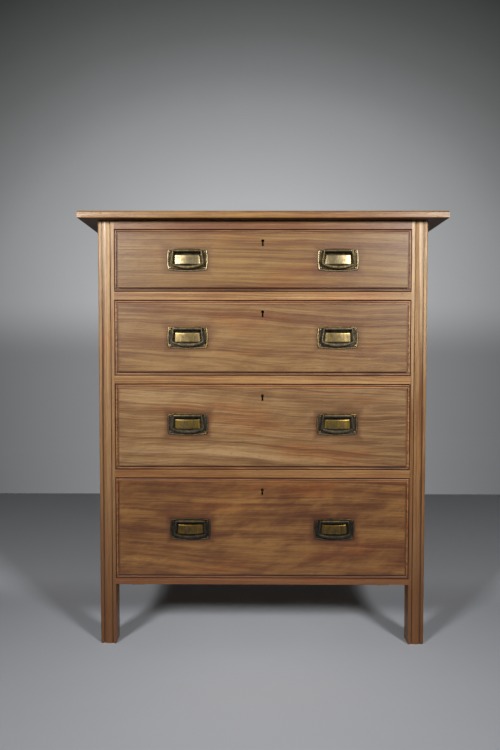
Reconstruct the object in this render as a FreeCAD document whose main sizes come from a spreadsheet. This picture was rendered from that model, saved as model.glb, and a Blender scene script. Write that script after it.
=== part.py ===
"""Chest of four graduated long drawers on square legs, with bail handles.

The origin is on the floor, under the centre of the top board. +X points to
the right of someone who stands in front, +Y to the back and +Z up. All
lengths are millimetres.
"""

import FreeCAD
import Part
import math
import os
import re
import Sketcher

Vector = FreeCAD.Vector

# Driving dimensions: alias, size, what it measures.
SIZES = [
    ("top_wide", 914, "top board, side to side"),
    ("top_deep", 470, "top board, front to back"),
    ("top_thick", 18, "top board"),
    ("top_round", 5, "radius along the top board's upper edge"),
    ("top_ease", 2.5, "radius along the top board's lower edge"),
    ("side_overhang", 45, "top board past the case at each side"),
    ("front_overhang", 27, "top board past the front rails"),
    ("back_overhang", 3, "top board past the back posts"),
    ("post_wide", 40, "posts, side to side"),
    ("front_post_deep", 40, "front posts, front to back"),
    ("back_post_deep", 30, "back posts, front to back"),
    ("toe_ease", 2, "bevel round the feet"),
    ("strip_wide", 7.5, "flat strip of the front post, beside the drawers"),
    ("quirk_wide", 2.5, "the post's two grooves"),
    ("quirk_deep", 4.5, "groove floor, behind the rails' face"),
    ("band_wide", 19, "broad rounded band of the post"),
    ("band_back", 2.6, "band's edges, behind the rails' face"),
    ("band_crown", 1.6, "rise of the band between its edges"),
    ("reed_back", 3.6, "reed's outer edge, behind the rails' face"),
    ("reed_crown", 1.5, "rise of the narrow outer reed"),
    ("leg_tall", 154, "floor to the underside of the bottom rail"),
    ("bottom_rail_tall", 16, "bottom rail"),
    ("drawer_rail_tall", 20, "rails between the drawers"),
    ("top_rail_tall", 22, "rail under the top board"),
    ("opening_one", 156, "top drawer's opening, floor to ceiling"),
    ("opening_two", 190, "second drawer's opening"),
    ("opening_three", 218, "third drawer's opening"),
    ("opening_four", 258, "bottom drawer's opening"),
    ("rail_deep", 50, "front rails, front to back"),
    ("tenon_long", 22, "rail tenons"),
    ("tenon_shoulder", 5, "shoulder on each side of a tenon"),
    ("tenon_setback", 8, "front rails' face to the tenon"),
    ("tenon_deep", 24, "front rails' tenon, front to back"),
    ("tongue_long", 8, "runner's tongue in the rail"),
    ("tongue_thick", 7, "runner's tongue"),
    ("side_rail_thick", 20, "side rails"),
    ("side_top_tall", 62, "upper side rail"),
    ("side_bottom_tall", 70, "lower side rail"),
    ("panel_thick", 8, "side panels"),
    ("panel_setback", 7, "side panels, behind the posts' outer face"),
    ("panel_groove", 9, "depth of the grooves that hold the panels"),
    ("panel_float", 1.5, "panel edge to groove floor, room to swell"),
    ("panel_slack", 0.2, "panel groove, wider than the panel"),
    ("back_rail_thick", 18, "back rails"),
    ("back_rail_tall", 60, "back rails"),
    ("back_rail_setback", 6, "back rails, inside the posts' back face"),
    ("back_panel_thick", 6, "back panel"),
    ("runner_wide", 48, "runners, inward from the side rails"),
    ("runner_housing", 6, "runner let into the back post"),
    ("guide_tall", 18, "strips that keep a drawer square"),
    ("stop_wide", 40, "drawer stops"),
    ("stop_deep", 16, "drawer stops"),
    ("stop_tall", 5, "drawer stops"),
    ("stop_apart", 360, "between the middles of a drawer's two stops"),
    ("stop_slack", 0.3, "closed drawer front to its stops"),
    ("front_side_gap", 1.2, "drawer front to the posts"),
    ("front_floor_gap", 1.2, "drawer front to the rail below"),
    ("front_top_gap", 1.8, "drawer front to the rail above"),
    ("front_inset", 17, "rails' face to the drawer front's back"),
    ("field_proud", 5, "raised field, in front of the rails' face"),
    ("field_bevel", 1, "bevel round the raised field"),
    ("bead_wide", 8.5, "mitred moulding round the field"),
    ("bead_seat", 3, "moulding's seat, behind the rails' face"),
    ("bead_round_wide", 5.5, "the moulding's half round"),
    ("bead_back", 0.4, "half round's edges, behind the rails' face"),
    ("bead_crown", 1.9, "rise of the half round"),
    ("bead_quirk", 1.4, "flat beside the field, behind the rails' face"),
    ("drawer_end_gap", 18, "drawer's back end to the back rails"),
    ("drawer_side_thick", 12, "drawer sides"),
    ("drawer_back_thick", 10, "drawer backs"),
    ("drawer_bottom_thick", 6, "drawer bottoms"),
    ("drawer_run_gap", 0.3, "drawer side to its runner"),
    ("drawer_head_gap", 3, "drawer side to the rail above"),
    ("back_lower", 6, "drawer back, lower than the sides"),
    ("bottom_lift", 10, "bottom panel above the side's lower edge"),
    ("bottom_groove", 4, "bottom panel in the sides and the front"),
    ("tail_long", 9, "lapped tails in the drawer front"),
    ("tail_gap", 12, "between two tails, at their root"),
    ("tail_slope", 7, "tail side, run to one of rise"),
    ("tails_one", 3, "tails on each side of the top drawer"),
    ("tails_two", 4, "tails on each side of the second drawer"),
    ("tails_three", 4, "tails on each side of the third drawer"),
    ("tails_four", 5, "tails on each side of the bottom drawer"),
    ("lock_wide", 60, "lock case"),
    ("lock_tall", 46, "lock case"),
    ("lock_thick", 9, "lock case"),
    ("lock_plate_wide", 76, "plate on the drawer's top edge"),
    ("lock_plate_thick", 2.5, "plate on the drawer's top edge"),
    ("lock_well", 5, "keyhole into the lock case"),
    ("bolt_wide", 16, "lock bolt"),
    ("bolt_thick", 4, "lock bolt"),
    ("bolt_tall", 20, "lock bolt"),
    ("bolt_travel", 7, "lock bolt"),
    ("bolt_slack", 0.25, "bolt to its channel, all round"),
    ("bolt_sink", 0.5, "drawn bolt below the lock plate"),
    ("strike_slack", 1.5, "bolt to its mortise in the rail"),
    ("strike_room", 3.3, "raised bolt to its mortise's end"),
    ("key_drop", 35, "opening's ceiling to the keyhole's middle"),
    ("key_round", 8, "keyhole's round"),
    ("key_slot", 4.5, "keyhole's slot"),
    ("key_tall", 17, "keyhole, top to bottom"),
    ("handle_apart", 375, "between the handles of the upper drawers"),
    ("handle_apart_low", 363, "between the bottom drawer's handles"),
    ("handle_rise_one", 0.5, "top drawer's handles above mid opening"),
    ("handle_rise_two", 0.5, "second drawer's handles"),
    ("handle_rise_three", 7.5, "third drawer's handles"),
    ("handle_rise_four", -1.0, "bottom drawer's handles"),
    ("plate_wide", 97.6, "handle plate, between its corners"),
    ("plate_tall", 51, "handle plate, between its corners"),
    ("plate_bow_side", 2.2, "bulge of the plate's ends"),
    ("plate_bow_long", 3, "bulge of the plate's long edges"),
    ("plate_thick", 1.6, "plate inside its rim"),
    ("rim_wide", 4, "raised rim of the plate"),
    ("rim_tall", 3.4, "raised rim, off the drawer front"),
    ("rim_bevel", 1.2, "bevel along the rim's outer edge"),
    ("barrel_wide", 65, "hinge barrel on the plate"),
    ("barrel_across", 9, "hinge barrel's diameter"),
    ("barrel_stand", 9, "hinge axis off the drawer front"),
    ("barrel_rise", 21.5, "hinge axis above the plate's middle"),
    ("barrel_root", 8, "barrel's web where it leaves the plate"),
    ("pad_wide", 65, "raised pad of the plate"),
    ("pad_tall", 25, "raised pad of the plate"),
    ("pad_edge", 3.2, "pad's ends, off the drawer front"),
    ("pad_crown", 2.7, "rise of the pad between its ends"),
    ("pin_across", 4.2, "bail's eight-sided pins, across their corners"),
    ("pin_slack", 0.08, "pin's corners to the socket's flats"),
    ("pin_grip", 8, "pin inside the barrel"),
    ("pin_end_gap", 1, "pin's end to the socket's floor"),
    ("arm_gap", 0.4, "barrel's end to the bail's arm"),
    ("arm_wide", 3.8, "bail's arm at its top"),
    ("arm_foot_wide", 4.4, "bail's arm at its foot"),
    ("arm_splay", 5, "arm's inner side, its foot outside its top"),
    ("eye_rise", 2.6, "arm's top above the hinge axis"),
    ("foot_drop", 34.5, "hinge axis down to the bail's outer corners"),
    ("inner_drop", 30.7, "hinge axis down to the corners inside the bail"),
    ("grip_drop", 40.5, "hinge axis down to the middle of the grip"),
    ("grip_tall", 7.8, "middle of the grip, top to bottom"),
    ("bail_thick", 5.2, "bail, front to back"),
    ("bail_corner", 5, "radius of the bail's outer corners"),
]

# Sizes that follow from the driving ones.
DERIVED = [
    ("case_wide", "top_wide - 2 * side_overhang"),
    ("case_deep", "top_deep - front_overhang - back_overhang"),
    ("front_face", "front_overhang - top_deep / 2"),
    ("back_face", "front_face + case_deep"),
    ("half_case", "case_wide / 2"),
    ("half_opening", "half_case - post_wide"),
    ("floor_four", "leg_tall + bottom_rail_tall"),
    ("floor_three", "floor_four + opening_four + drawer_rail_tall"),
    ("floor_two", "floor_three + opening_three + drawer_rail_tall"),
    ("floor_one", "floor_two + opening_two + drawer_rail_tall"),
    ("top_rail_floor", "floor_one + opening_one"),
    ("case_tall", "top_rail_floor + top_rail_tall"),
    ("side_front", "front_face + front_post_deep"),
    ("side_back", "back_face - back_post_deep"),
    ("panel_inner", "half_case - panel_setback - panel_thick"),
    ("runner_front", "front_face + rail_deep"),
    ("runner_outer", "half_case - side_rail_thick"),
    ("back_rail_front", "back_face - back_rail_setback - back_rail_thick"),
    ("back_panel_front", "back_rail_front + (back_rail_thick - back_panel_thick) / 2"),
    ("drawer_long", "back_rail_front - front_face - drawer_end_gap"),
    ("front_half", "half_opening - front_side_gap"),
    ("inside_half", "front_half - drawer_side_thick"),
    ("bottom_floor", "drawer_run_gap + bottom_lift"),
    ("back_floor", "bottom_floor + drawer_bottom_thick"),
    ("lock_front", "front_inset - lock_thick"),
    ("bolt_middle", "front_inset - lock_thick / 2"),
    ("strike_deep", "bolt_travel - bolt_sink - front_top_gap + strike_room"),
    ("pin_inner", "barrel_wide / 2 - pin_grip"),
    ("arm_top", "barrel_wide / 2 + arm_gap"),
    ("arm_foot", "arm_top + arm_splay"),
]

DRAWERS = ["one", "two", "three", "four"]

doc = FreeCAD.newDocument("chest_of_drawers")
sheet = doc.addObject("Spreadsheet::Sheet", "Sizes")
ALIASES = {row[0] for row in SIZES} | {row[0] for row in DERIVED}
WORD = re.compile(r"[a-z]+(?:_[a-z]+)*")
parts = []


def fill_sheet():
    """Write the driving dimensions and what follows from them."""
    row = 1
    for alias, size, meaning in SIZES:
        sheet.set("A%d" % row, meaning)
        sheet.set("B%d" % row, str(size))
        sheet.setAlias("B%d" % row, alias)
        row += 1
    for alias, formula in DERIVED:
        sheet.set("B%d" % row, "=" + formula)
        sheet.setAlias("B%d" % row, alias)
        row += 1
    doc.recompute()


def bound(formula):
    """Return a formula whose size names point at the sheet."""
    return WORD.sub(lambda m: "Sizes." + m[0] if m[0] in ALIASES else m[0], str(formula))


def number(formula):
    """Return what a formula comes to now."""
    return float(sheet.evalExpression(bound(formula)))


def bind(item, prop, formula):
    """Tie a property to a formula of sheet sizes."""
    item.setExpression(prop, bound(formula))


def place(item, x=0, y=0, z=0):
    """Put an object at a place given by formulas."""
    for letter, formula in zip("xyz", (x, y, z)):
        bind(item, ".Placement.Base." + letter, formula)
    return item


def keep(item, label):
    """List an object as a sub-part under its own name."""
    item.Label = label
    parts.append(item)
    return item


def new_body(name):
    """Start a body."""
    body = doc.addObject("PartDesign::Body", name)
    body.Label = name
    return body


def origin_plane(body, role):
    """Return one of a body's own origin planes."""
    return [item for item in body.Origin.OriginFeatures if item.Role == role][0]


def new_sketch(body, name, role, offset=0):
    """Start a sketch on an origin plane, moved along the plane's normal.

    The XZ plane's normal points to the front, the XY plane's up and the YZ
    plane's to the right.
    """
    sketch = body.newObject("Sketcher::SketchObject", name)
    sketch.AttachmentSupport = [(origin_plane(body, role), "")]
    sketch.MapMode = "FlatFace"
    bind(sketch, ".AttachmentOffset.Base.z", offset)
    return sketch


def pin_point(sketch, geometry, end, x, y):
    """Fix a point of a sketch at a place given by two formulas."""
    for kind, formula in (("DistanceX", x), ("DistanceY", y)):
        rule = Sketcher.Constraint(kind, -1, 1, geometry, end, number(formula))
        index = sketch.addConstraint(rule)
        bind(sketch, "Constraints[%d]" % index, formula)


def set_radius(sketch, geometry, formula):
    """Fix the radius of an arc or a circle."""
    index = sketch.addConstraint(Sketcher.Constraint("Radius", geometry, number(formula)))
    bind(sketch, "Constraints[%d]" % index, formula)


def outline(sketch, corners):
    """Draw a closed outline.

    Each corner is (x, y) or (x, y, rise). A rise makes the edge to the next
    corner an arc that stands that far off the straight line, on its right
    as the outline is walked, or on its left if the rise is negative.
    """
    count = len(corners)
    spots = [Vector(number(c[0]), number(c[1]), 0) for c in corners]
    ends = []
    for index, corner in enumerate(corners):
        start = spots[index]
        stop = spots[(index + 1) % count]
        if len(corner) == 2:
            edge = sketch.addGeometry(Part.LineSegment(start, stop))
            ends.append((edge, 1, 2))
            continue
        chord = stop - start
        rise = number(corner[2])
        radius = (chord.Length ** 2 / 4 + rise ** 2) / (2 * abs(rise))
        across = Vector(chord.y, -chord.x, 0).normalize() * math.copysign(1, rise)
        centre = (start + stop) * 0.5 - across * (radius - abs(rise))
        first, last = (start, stop) if rise > 0 else (stop, start)
        turns = [math.atan2(spot.y - centre.y, spot.x - centre.x) for spot in (first, last)]
        circle = Part.Circle(centre, Vector(0, 0, 1), radius)
        edge = sketch.addGeometry(Part.ArcOfCircle(circle, *turns))
        ends.append((edge, 1, 2) if rise > 0 else (edge, 2, 1))
    for index, corner in enumerate(corners):
        edge, start_end, stop_end = ends[index]
        after = ends[(index + 1) % count]
        sketch.addConstraint(Sketcher.Constraint("Coincident", edge, stop_end, after[0], after[1]))
        pin_point(sketch, edge, start_end, corner[0], corner[1])
        if len(corner) == 3:
            following = corners[(index + 1) % count]
            chord = "(pow(%s - (%s); 2) + pow(%s - (%s); 2))" % (
                following[0], corner[0], following[1], corner[1])
            rise = "(%s)" % corner[2]
            set_radius(sketch, edge, "(%s / 4 + pow(%s; 2)) / (2 * abs%s)" % (chord, rise, rise))


def rectangle(sketch, left, right, low, high):
    """Draw a rectangle between two places across and two places up."""
    outline(sketch, [(left, low), (right, low), (right, high), (left, high)])


def round_hole(sketch, x, y, radius):
    """Draw a full circle."""
    spot = Vector(number(x), number(y), 0)
    ring = sketch.addGeometry(Part.Circle(spot, Vector(0, 0, 1), number(radius)))
    pin_point(sketch, ring, 3, x, y)
    set_radius(sketch, ring, radius)


def eight_sides(sketch, x, y, flats):
    """Draw a regular octagon of a given width across its flats."""
    half = "(%s) / 2" % flats
    corner = "(%s) / 2 * tan(22.5)" % flats
    steps = [(half, corner), (corner, half)]
    steps += [("-" + b, a) for a, b in steps]
    steps += [("-" + a, "-" + b) for a, b in steps]
    outline(sketch, [("%s + %s" % (x, a), "%s + %s" % (y, b)) for a, b in steps])


def pad(body, sketch, length, back=False):
    """Raise a sketch by a length, along its normal or back from it."""
    feature = body.newObject("PartDesign::Pad", sketch.Name + "_pad")
    feature.Profile = sketch
    feature.Reversed = back
    bind(feature, "Length", length)
    return feature


def pocket(body, sketch, depth, ahead=False):
    """Cut a sketch into the body, against its normal or along it."""
    feature = body.newObject("PartDesign::Pocket", sketch.Name + "_pocket")
    feature.Profile = sketch
    feature.Reversed = ahead
    bind(feature, "Length", depth)
    return feature


def round_edges(body, name, radius, chosen):
    """Round the edges of the body's tip that a test picks."""
    doc.recompute()
    base = body.Tip
    names = ["Edge%d" % (n + 1) for n, edge in enumerate(base.Shape.Edges) if chosen(edge)]
    feature = body.newObject("PartDesign::Fillet", name)
    feature.Base = (base, names)
    bind(feature, "Radius", radius)
    return feature


def bevel_edges(body, name, size, chosen):
    """Bevel the edges of the body's tip that a test picks."""
    doc.recompute()
    base = body.Tip
    names = ["Edge%d" % (n + 1) for n, edge in enumerate(base.Shape.Edges) if chosen(edge)]
    feature = body.newObject("PartDesign::Chamfer", name)
    feature.Base = (base, names)
    bind(feature, "Size", size)
    return feature


def near(first, second):
    """Tell whether two lengths are the same."""
    return abs(first - second) < 0.01


def all_at(edge, axis, where):
    """Tell whether every part of an edge has one coordinate in common."""
    box = edge.BoundBox
    low, high = {
        "x": (box.XMin, box.XMax), "y": (box.YMin, box.YMax), "z": (box.ZMin, box.ZMax)}[axis]
    return near(low, where) and near(high, where)


def block(name, size, corner):
    """Make a plain board from its three sizes and its low corner."""
    box = doc.addObject("Part::Box", name)
    for prop, formula in zip(("Length", "Width", "Height"), size):
        bind(box, prop, formula)
    return place(box, *corner)


def cut(name, base, tools):
    """Cut every tool out of a base."""
    tool = tools[0] if len(tools) == 1 else group(name + "_tools", tools)
    feature = doc.addObject("Part::Cut", name)
    feature.Base = base
    feature.Tool = tool
    return feature


def group(name, members):
    """Hold separate solids together as one object."""
    compound = doc.addObject("Part::Compound", name)
    compound.Links = members
    return compound


def mirror(name, source, normal=(1, 0, 0), height=0):
    """Reflect an object across the middle, or across a level plane."""
    copy = doc.addObject("Part::Mirroring", name)
    copy.Source = source
    copy.Normal = Vector(*normal)
    bind(copy, ".Base.z", height)
    return copy


def clone(name, source):
    """Repeat a body, with a place of its own."""
    body = doc.addObject("PartDesign::Body", name)
    feature = body.newObject("PartDesign::FeatureBase", name + "_clone")
    feature.BaseFeature = source
    body.Tip = feature
    return body


def make_top_board():
    """Make the top board, rounded along the front and both sides."""
    body = new_body("top_board")
    sketch = new_sketch(body, "top_outline", "XY_Plane")
    rectangle(sketch, "-top_wide / 2", "top_wide / 2", "-top_deep / 2", "top_deep / 2")
    pad(body, sketch, "top_thick")
    rear = number("top_deep / 2")

    def exposed(edge, level):
        return all_at(edge, "z", level) and not all_at(edge, "y", rear)

    thick = number("top_thick")
    round_edges(body, "upper_round", "top_round", lambda edge: exposed(edge, thick))
    round_edges(body, "lower_ease", "top_ease", lambda edge: exposed(edge, 0))
    keep(place(body, z="case_tall"), "top_board")


def make_front_rail(name, floor, tall, bolt):
    """Make a front rail with its tenons and the groove for the runners."""
    body = new_body(name)
    sketch = new_sketch(body, name + "_outline", "XY_Plane")
    rectangle(sketch, "-half_opening", "half_opening", 0, "rail_deep")
    pad(body, sketch, tall)
    tenon = new_sketch(body, name + "_tenon", "XY_Plane", "tenon_shoulder")
    reach = "half_opening + tenon_long"
    rectangle(tenon, "-(%s)" % reach, reach, "tenon_setback", "tenon_setback + tenon_deep")
    pad(body, tenon, "%s - 2 * tenon_shoulder" % tall)
    groove = new_sketch(body, name + "_groove", "XY_Plane", "(%s - tongue_thick) / 2" % tall)
    rectangle(groove, "-half_opening", "half_opening", "rail_deep - tongue_long", "rail_deep")
    pocket(body, groove, "tongue_thick", ahead=True)
    if bolt:
        strike = new_sketch(body, name + "_strike", "XY_Plane")
        half = "bolt_wide / 2 + strike_slack"
        near_edge = "bolt_middle - bolt_thick / 2 - strike_slack"
        far_edge = "bolt_middle + bolt_thick / 2 + strike_slack"
        rectangle(strike, "-(%s)" % half, half, near_edge, far_edge)
        pocket(body, strike, "strike_deep", ahead=True)
    return keep(place(body, y="front_face", z=floor), name)


def make_runner(name, floor, tall):
    """Make the right-hand runner of one level, tongued into its rail."""
    body = new_body(name)
    sketch = new_sketch(body, name + "_outline", "XY_Plane")
    inner = "runner_outer - runner_wide"
    rear = "side_back + runner_housing"
    rectangle(sketch, inner, "runner_outer", "runner_front", rear)
    pad(body, sketch, tall)
    tongue = new_sketch(body, name + "_tongue", "XY_Plane", "(%s - tongue_thick) / 2" % tall)
    rectangle(tongue, inner, "half_opening", "runner_front - tongue_long", "runner_front")
    pad(body, tongue, "tongue_thick")
    return place(body, z=floor)


def make_side_rail(name, floor, tall, groove_floor):
    """Make one right-hand side rail with tenons and the panel's groove."""
    body = new_body(name)
    sketch = new_sketch(body, name + "_outline", "YZ_Plane", "runner_outer")
    rectangle(sketch, "side_front", "side_back", 0, tall)
    pad(body, sketch, "side_rail_thick")
    tenon = new_sketch(body, name + "_tenon", "YZ_Plane", "panel_inner")
    low = "panel_groove + tenon_shoulder"
    high = "%s - panel_groove - tenon_shoulder" % tall
    rectangle(tenon, "side_front - tenon_long", "side_back + tenon_long", low, high)
    pad(body, tenon, "panel_thick")
    groove = new_sketch(body, name + "_groove", "YZ_Plane", "panel_inner - panel_slack / 2")
    rectangle(groove, "side_front", "side_back", groove_floor, "%s + panel_groove" % groove_floor)
    pocket(body, groove, "panel_thick + panel_slack", ahead=True)
    return place(body, z=floor)


def make_back_rail(name, floor, groove_floor):
    """Make one back rail with tenons and the back panel's groove."""
    body = new_body(name)
    sketch = new_sketch(body, name + "_outline", "XY_Plane")
    rear = "back_rail_front + back_rail_thick"
    rectangle(sketch, "-half_opening", "half_opening", "back_rail_front", rear)
    pad(body, sketch, "back_rail_tall")
    low = "panel_groove + tenon_shoulder"
    tenon = new_sketch(body, name + "_tenon", "XY_Plane", low)
    reach = "half_opening + tenon_long"
    panel_rear = "back_panel_front + back_panel_thick"
    rectangle(tenon, "-(%s)" % reach, reach, "back_panel_front", panel_rear)
    pad(body, tenon, "back_rail_tall - 2 * (%s)" % low)
    groove = new_sketch(body, name + "_groove", "XY_Plane", groove_floor)
    front = "back_panel_front - panel_slack / 2"
    rear = "back_panel_front + back_panel_thick + panel_slack / 2"
    rectangle(groove, "-half_opening", "half_opening", front, rear)
    pocket(body, groove, "panel_groove", ahead=True)
    return place(body, z=floor)


def make_front_post_blank():
    """Make the right-hand front post, moulded in front, before its mortises."""
    body = new_body("front_post_blank")
    sketch = new_sketch(body, "post_plan", "XY_Plane")
    band_left = "strip_wide + quirk_wide"
    band_right = "%s + band_wide" % band_left
    reed_left = "%s + quirk_wide" % band_right
    outline(sketch, [
        (0, 0),
        ("strip_wide", 0),
        ("strip_wide", "quirk_deep"),
        (band_left, "quirk_deep"),
        (band_left, "band_back", "band_crown"),
        (band_right, "band_back"),
        (band_right, "quirk_deep"),
        (reed_left, "quirk_deep"),
        (reed_left, "band_back", "reed_crown"),
        ("post_wide", "reed_back"),
        ("post_wide", "front_post_deep"),
        (0, "front_post_deep"),
    ])
    pad(body, sketch, "case_tall")
    outer = number("post_wide")
    rear = number("front_post_deep")

    def at_toe(edge):
        side = all_at(edge, "x", 0) or all_at(edge, "x", outer) or all_at(edge, "y", rear)
        return all_at(edge, "z", 0) and side

    bevel_edges(body, "toe_bevel", "toe_ease", at_toe)
    return place(body, "half_opening", "front_face", 0)


def make_back_post_blank():
    """Make the right-hand back post before its mortises."""
    body = new_body("back_post_blank")
    sketch = new_sketch(body, "back_post_plan", "XY_Plane")
    rectangle(sketch, 0, "post_wide", 0, "back_post_deep")
    pad(body, sketch, "case_tall")
    bevel_edges(body, "back_toe_bevel", "toe_ease", lambda edge: all_at(edge, "z", 0))
    return place(body, "half_opening", "side_back", 0)


def make_case():
    """Make the posts, rails, panels, runners, guides and stops."""
    make_top_board()
    levels = [
        ("front_top_rail", "top_rail_floor", "top_rail_tall", True),
        ("drawer_rail_one", "floor_one - drawer_rail_tall", "drawer_rail_tall", True),
        ("drawer_rail_two", "floor_two - drawer_rail_tall", "drawer_rail_tall", True),
        ("drawer_rail_three", "floor_three - drawer_rail_tall", "drawer_rail_tall", True),
        ("front_bottom_rail", "leg_tall", "bottom_rail_tall", False),
    ]
    rails = [make_front_rail(*level) for level in levels]

    bearers = [make_runner(level[0] + "_runner", level[1], level[2]) for level in levels]
    pairs = [[body, mirror(body.Name + "_left", body)] for body in bearers]
    kickers = keep(group("kickers", pairs[0]), "drawer_kickers")
    runners = keep(group("runners", sum(pairs[1:], [])), "drawer_runners")

    guides = []
    for word in DRAWERS:
        guide = block("guide_" + word,
                      ("runner_outer - half_opening", "side_back - runner_front", "guide_tall"),
                      ("half_opening", "runner_front", "floor_" + word))
        guides += [guide, mirror("guide_left_" + word, guide)]
    keep(group("guides", guides), "drawer_guides")

    stops = []
    for word in DRAWERS:
        stop = block("stop_" + word,
                     ("stop_wide", "stop_deep", "stop_tall"),
                     ("(stop_apart - stop_wide) / 2", "front_face + front_inset + stop_slack",
                      "floor_" + word))
        stops += [stop, mirror("stop_left_" + word, stop)]
    keep(group("stops", stops), "drawer_stops")

    upper = make_side_rail("side_rail_upper", "case_tall - side_top_tall", "side_top_tall", 0)
    lower = make_side_rail("side_rail_lower", "leg_tall", "side_bottom_tall",
                           "side_bottom_tall - panel_groove")
    right_rails = keep(group("right_side_rails", [upper, lower]), "side_rails_right")
    keep(mirror("left_side_rails", right_rails), "side_rails_left")

    hidden = "(panel_groove - panel_float)"
    panel_low = "leg_tall + side_bottom_tall"
    panel_high = "case_tall - side_top_tall"
    panel = block("right_side_panel",
                  ("panel_thick", "side_back - side_front + 2 * %s" % hidden,
                   "%s - (%s) + 2 * %s" % (panel_high, panel_low, hidden)),
                  ("panel_inner", "side_front - " + hidden, "%s - %s" % (panel_low, hidden)))
    keep(panel, "side_panel_right")
    keep(mirror("left_side_panel", panel), "side_panel_left")
    side_groove = block("side_groove",
                        ("panel_thick + panel_slack", "side_back - side_front + 2 * panel_groove",
                         "%s - (%s) + 2 * panel_groove" % (panel_high, panel_low)),
                        ("panel_inner - panel_slack / 2", "side_front - panel_groove",
                         "%s - panel_groove" % panel_low))

    high = make_back_rail("back_rail_upper", "case_tall - back_rail_tall", 0)
    low = make_back_rail("back_rail_lower", "leg_tall", "back_rail_tall - panel_groove")
    back_rails = keep(group("both_back_rails", [high, low]), "back_rails")
    back_low = "leg_tall + back_rail_tall"
    back_high = "case_tall - back_rail_tall"
    keep(block("back_board",
               ("2 * (half_opening + %s)" % hidden, "back_panel_thick",
                "%s - (%s) + 2 * %s" % (back_high, back_low, hidden)),
               ("-half_opening - " + hidden, "back_panel_front", "%s - %s" % (back_low, hidden))),
         "back_panel")
    back_groove = block("back_groove",
                        ("panel_groove", "back_panel_thick + panel_slack",
                         "%s - (%s) + 2 * panel_groove" % (back_high, back_low)),
                        ("half_opening", "back_panel_front - panel_slack / 2",
                         "%s - panel_groove" % back_low))

    front = cut("front_post", make_front_post_blank(), rails + [right_rails, side_groove])
    back = cut("back_post", make_back_post_blank(),
               [back_rails, right_rails, side_groove, back_groove, runners, kickers])
    keep(front, "post_front_right")
    keep(mirror("front_post_left", front), "post_front_left")
    keep(back, "post_back_right")
    keep(mirror("back_post_left", back), "post_back_left")


def make_bead(word):
    """Make the four mitred lengths of moulding round a drawer's field."""
    low = "front_floor_gap"
    high = "opening_%s - front_top_gap" % word

    def section(sketch, outer, sign, swap):
        """Draw the moulding's section, from its outer edge inward."""
        points = [
            (0, "bead_seat"), (0, "bead_back", "-bead_crown"),
            ("bead_round_wide", "bead_back"), ("bead_round_wide", "bead_quirk"),
            ("bead_wide", "bead_quirk"), ("bead_wide", "bead_seat"),
        ]
        corners = []
        for point in points:
            inward = "%s %s %s" % (outer, sign, point[0])
            spot = (point[1], inward) if swap else (inward, point[1])
            corners.append(spot + tuple(point[2:]))
        outline(sketch, corners)

    lower = new_body("bead_low_" + word)
    sketch = new_sketch(lower, "bead_low_section_" + word, "YZ_Plane", "-front_half")
    section(sketch, low, "+", True)
    pad(lower, sketch, "2 * front_half")
    mitre = new_sketch(lower, "bead_low_mitre_" + word, "XZ_Plane", "-bead_seat")
    for sign in ("-", ""):
        edge = "%sfront_half" % sign
        inner = "%s(front_half - bead_wide)" % sign
        corners = [(edge, low), (inner, "%s + bead_wide" % low), (edge, "%s + bead_wide" % low)]
        outline(mitre, corners)
    pocket(lower, mitre, "bead_seat + bead_crown", ahead=True)

    right = new_body("bead_right_" + word)
    sketch = new_sketch(right, "bead_right_section_" + word, "XY_Plane", low)
    section(sketch, "front_half", "-", False)
    pad(right, sketch, "%s - %s" % (high, low))
    mitre = new_sketch(right, "bead_right_mitre_" + word, "XZ_Plane", "-bead_seat")
    inner = "front_half - bead_wide"
    outline(mitre, [("front_half", low), (inner, low), (inner, "%s + bead_wide" % low)])
    outline(mitre, [("front_half", high), (inner, high), (inner, "%s - bead_wide" % high)])
    pocket(right, mitre, "bead_seat + bead_crown", ahead=True)

    middle = "(%s + %s) / 2" % (low, high)
    upper = mirror("bead_high_" + word, lower, (0, 0, 1), middle)
    left = mirror("bead_left_" + word, right)
    return group("bead_" + word, [lower, upper, right, left])


def make_front_blank(word):
    """Make a drawer front with its raised field and keyhole, before its joints."""
    body = new_body("front_blank_" + word)
    ceiling = "opening_" + word
    board = new_sketch(body, "front_outline_" + word, "XZ_Plane", "-front_inset")
    high = "%s - front_top_gap" % ceiling
    rectangle(board, "-front_half", "front_half", "front_floor_gap", high)
    pad(body, board, "front_inset - bead_seat")
    field = new_sketch(body, "field_outline_" + word, "XZ_Plane", "-bead_seat")
    half = "front_half - bead_wide"
    rectangle(field, "-(%s)" % half, half, "front_floor_gap + bead_wide", "%s - bead_wide" % high)
    pad(body, field, "bead_seat + field_proud")
    face = -number("field_proud")
    bevel_edges(body, "field_bevel_" + word, "field_bevel", lambda edge: all_at(edge, "y", face))
    eye = "%s - key_drop + key_tall / 2 - key_round / 2" % ceiling
    foot = "%s - key_drop - key_tall / 2" % ceiling
    hole = new_sketch(body, "key_eye_" + word, "XZ_Plane", "field_proud")
    round_hole(hole, 0, eye, "key_round / 2")
    pocket(body, hole, "field_proud + front_inset")
    slot = new_sketch(body, "key_slot_" + word, "XZ_Plane", "field_proud")
    rectangle(slot, "-key_slot / 2", "key_slot / 2", foot, eye)
    pocket(body, slot, "field_proud + front_inset")
    return body


def make_lock_blank(word):
    """Make the lock case with its top plate, before its hollows."""
    body = new_body("lock_blank_" + word)
    top = "opening_%s - front_top_gap" % word
    case = new_sketch(body, "lock_outline_" + word, "XZ_Plane", "-front_inset")
    rectangle(case, "-lock_wide / 2", "lock_wide / 2", "%s - lock_tall" % top, top)
    pad(body, case, "lock_thick")
    plate = new_sketch(body, "lock_plate_" + word, "XZ_Plane", "-front_inset")
    rectangle(plate, "-lock_plate_wide / 2", "lock_plate_wide / 2",
              "%s - lock_plate_thick" % top, top)
    pad(body, plate, "lock_thick")
    return body


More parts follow.
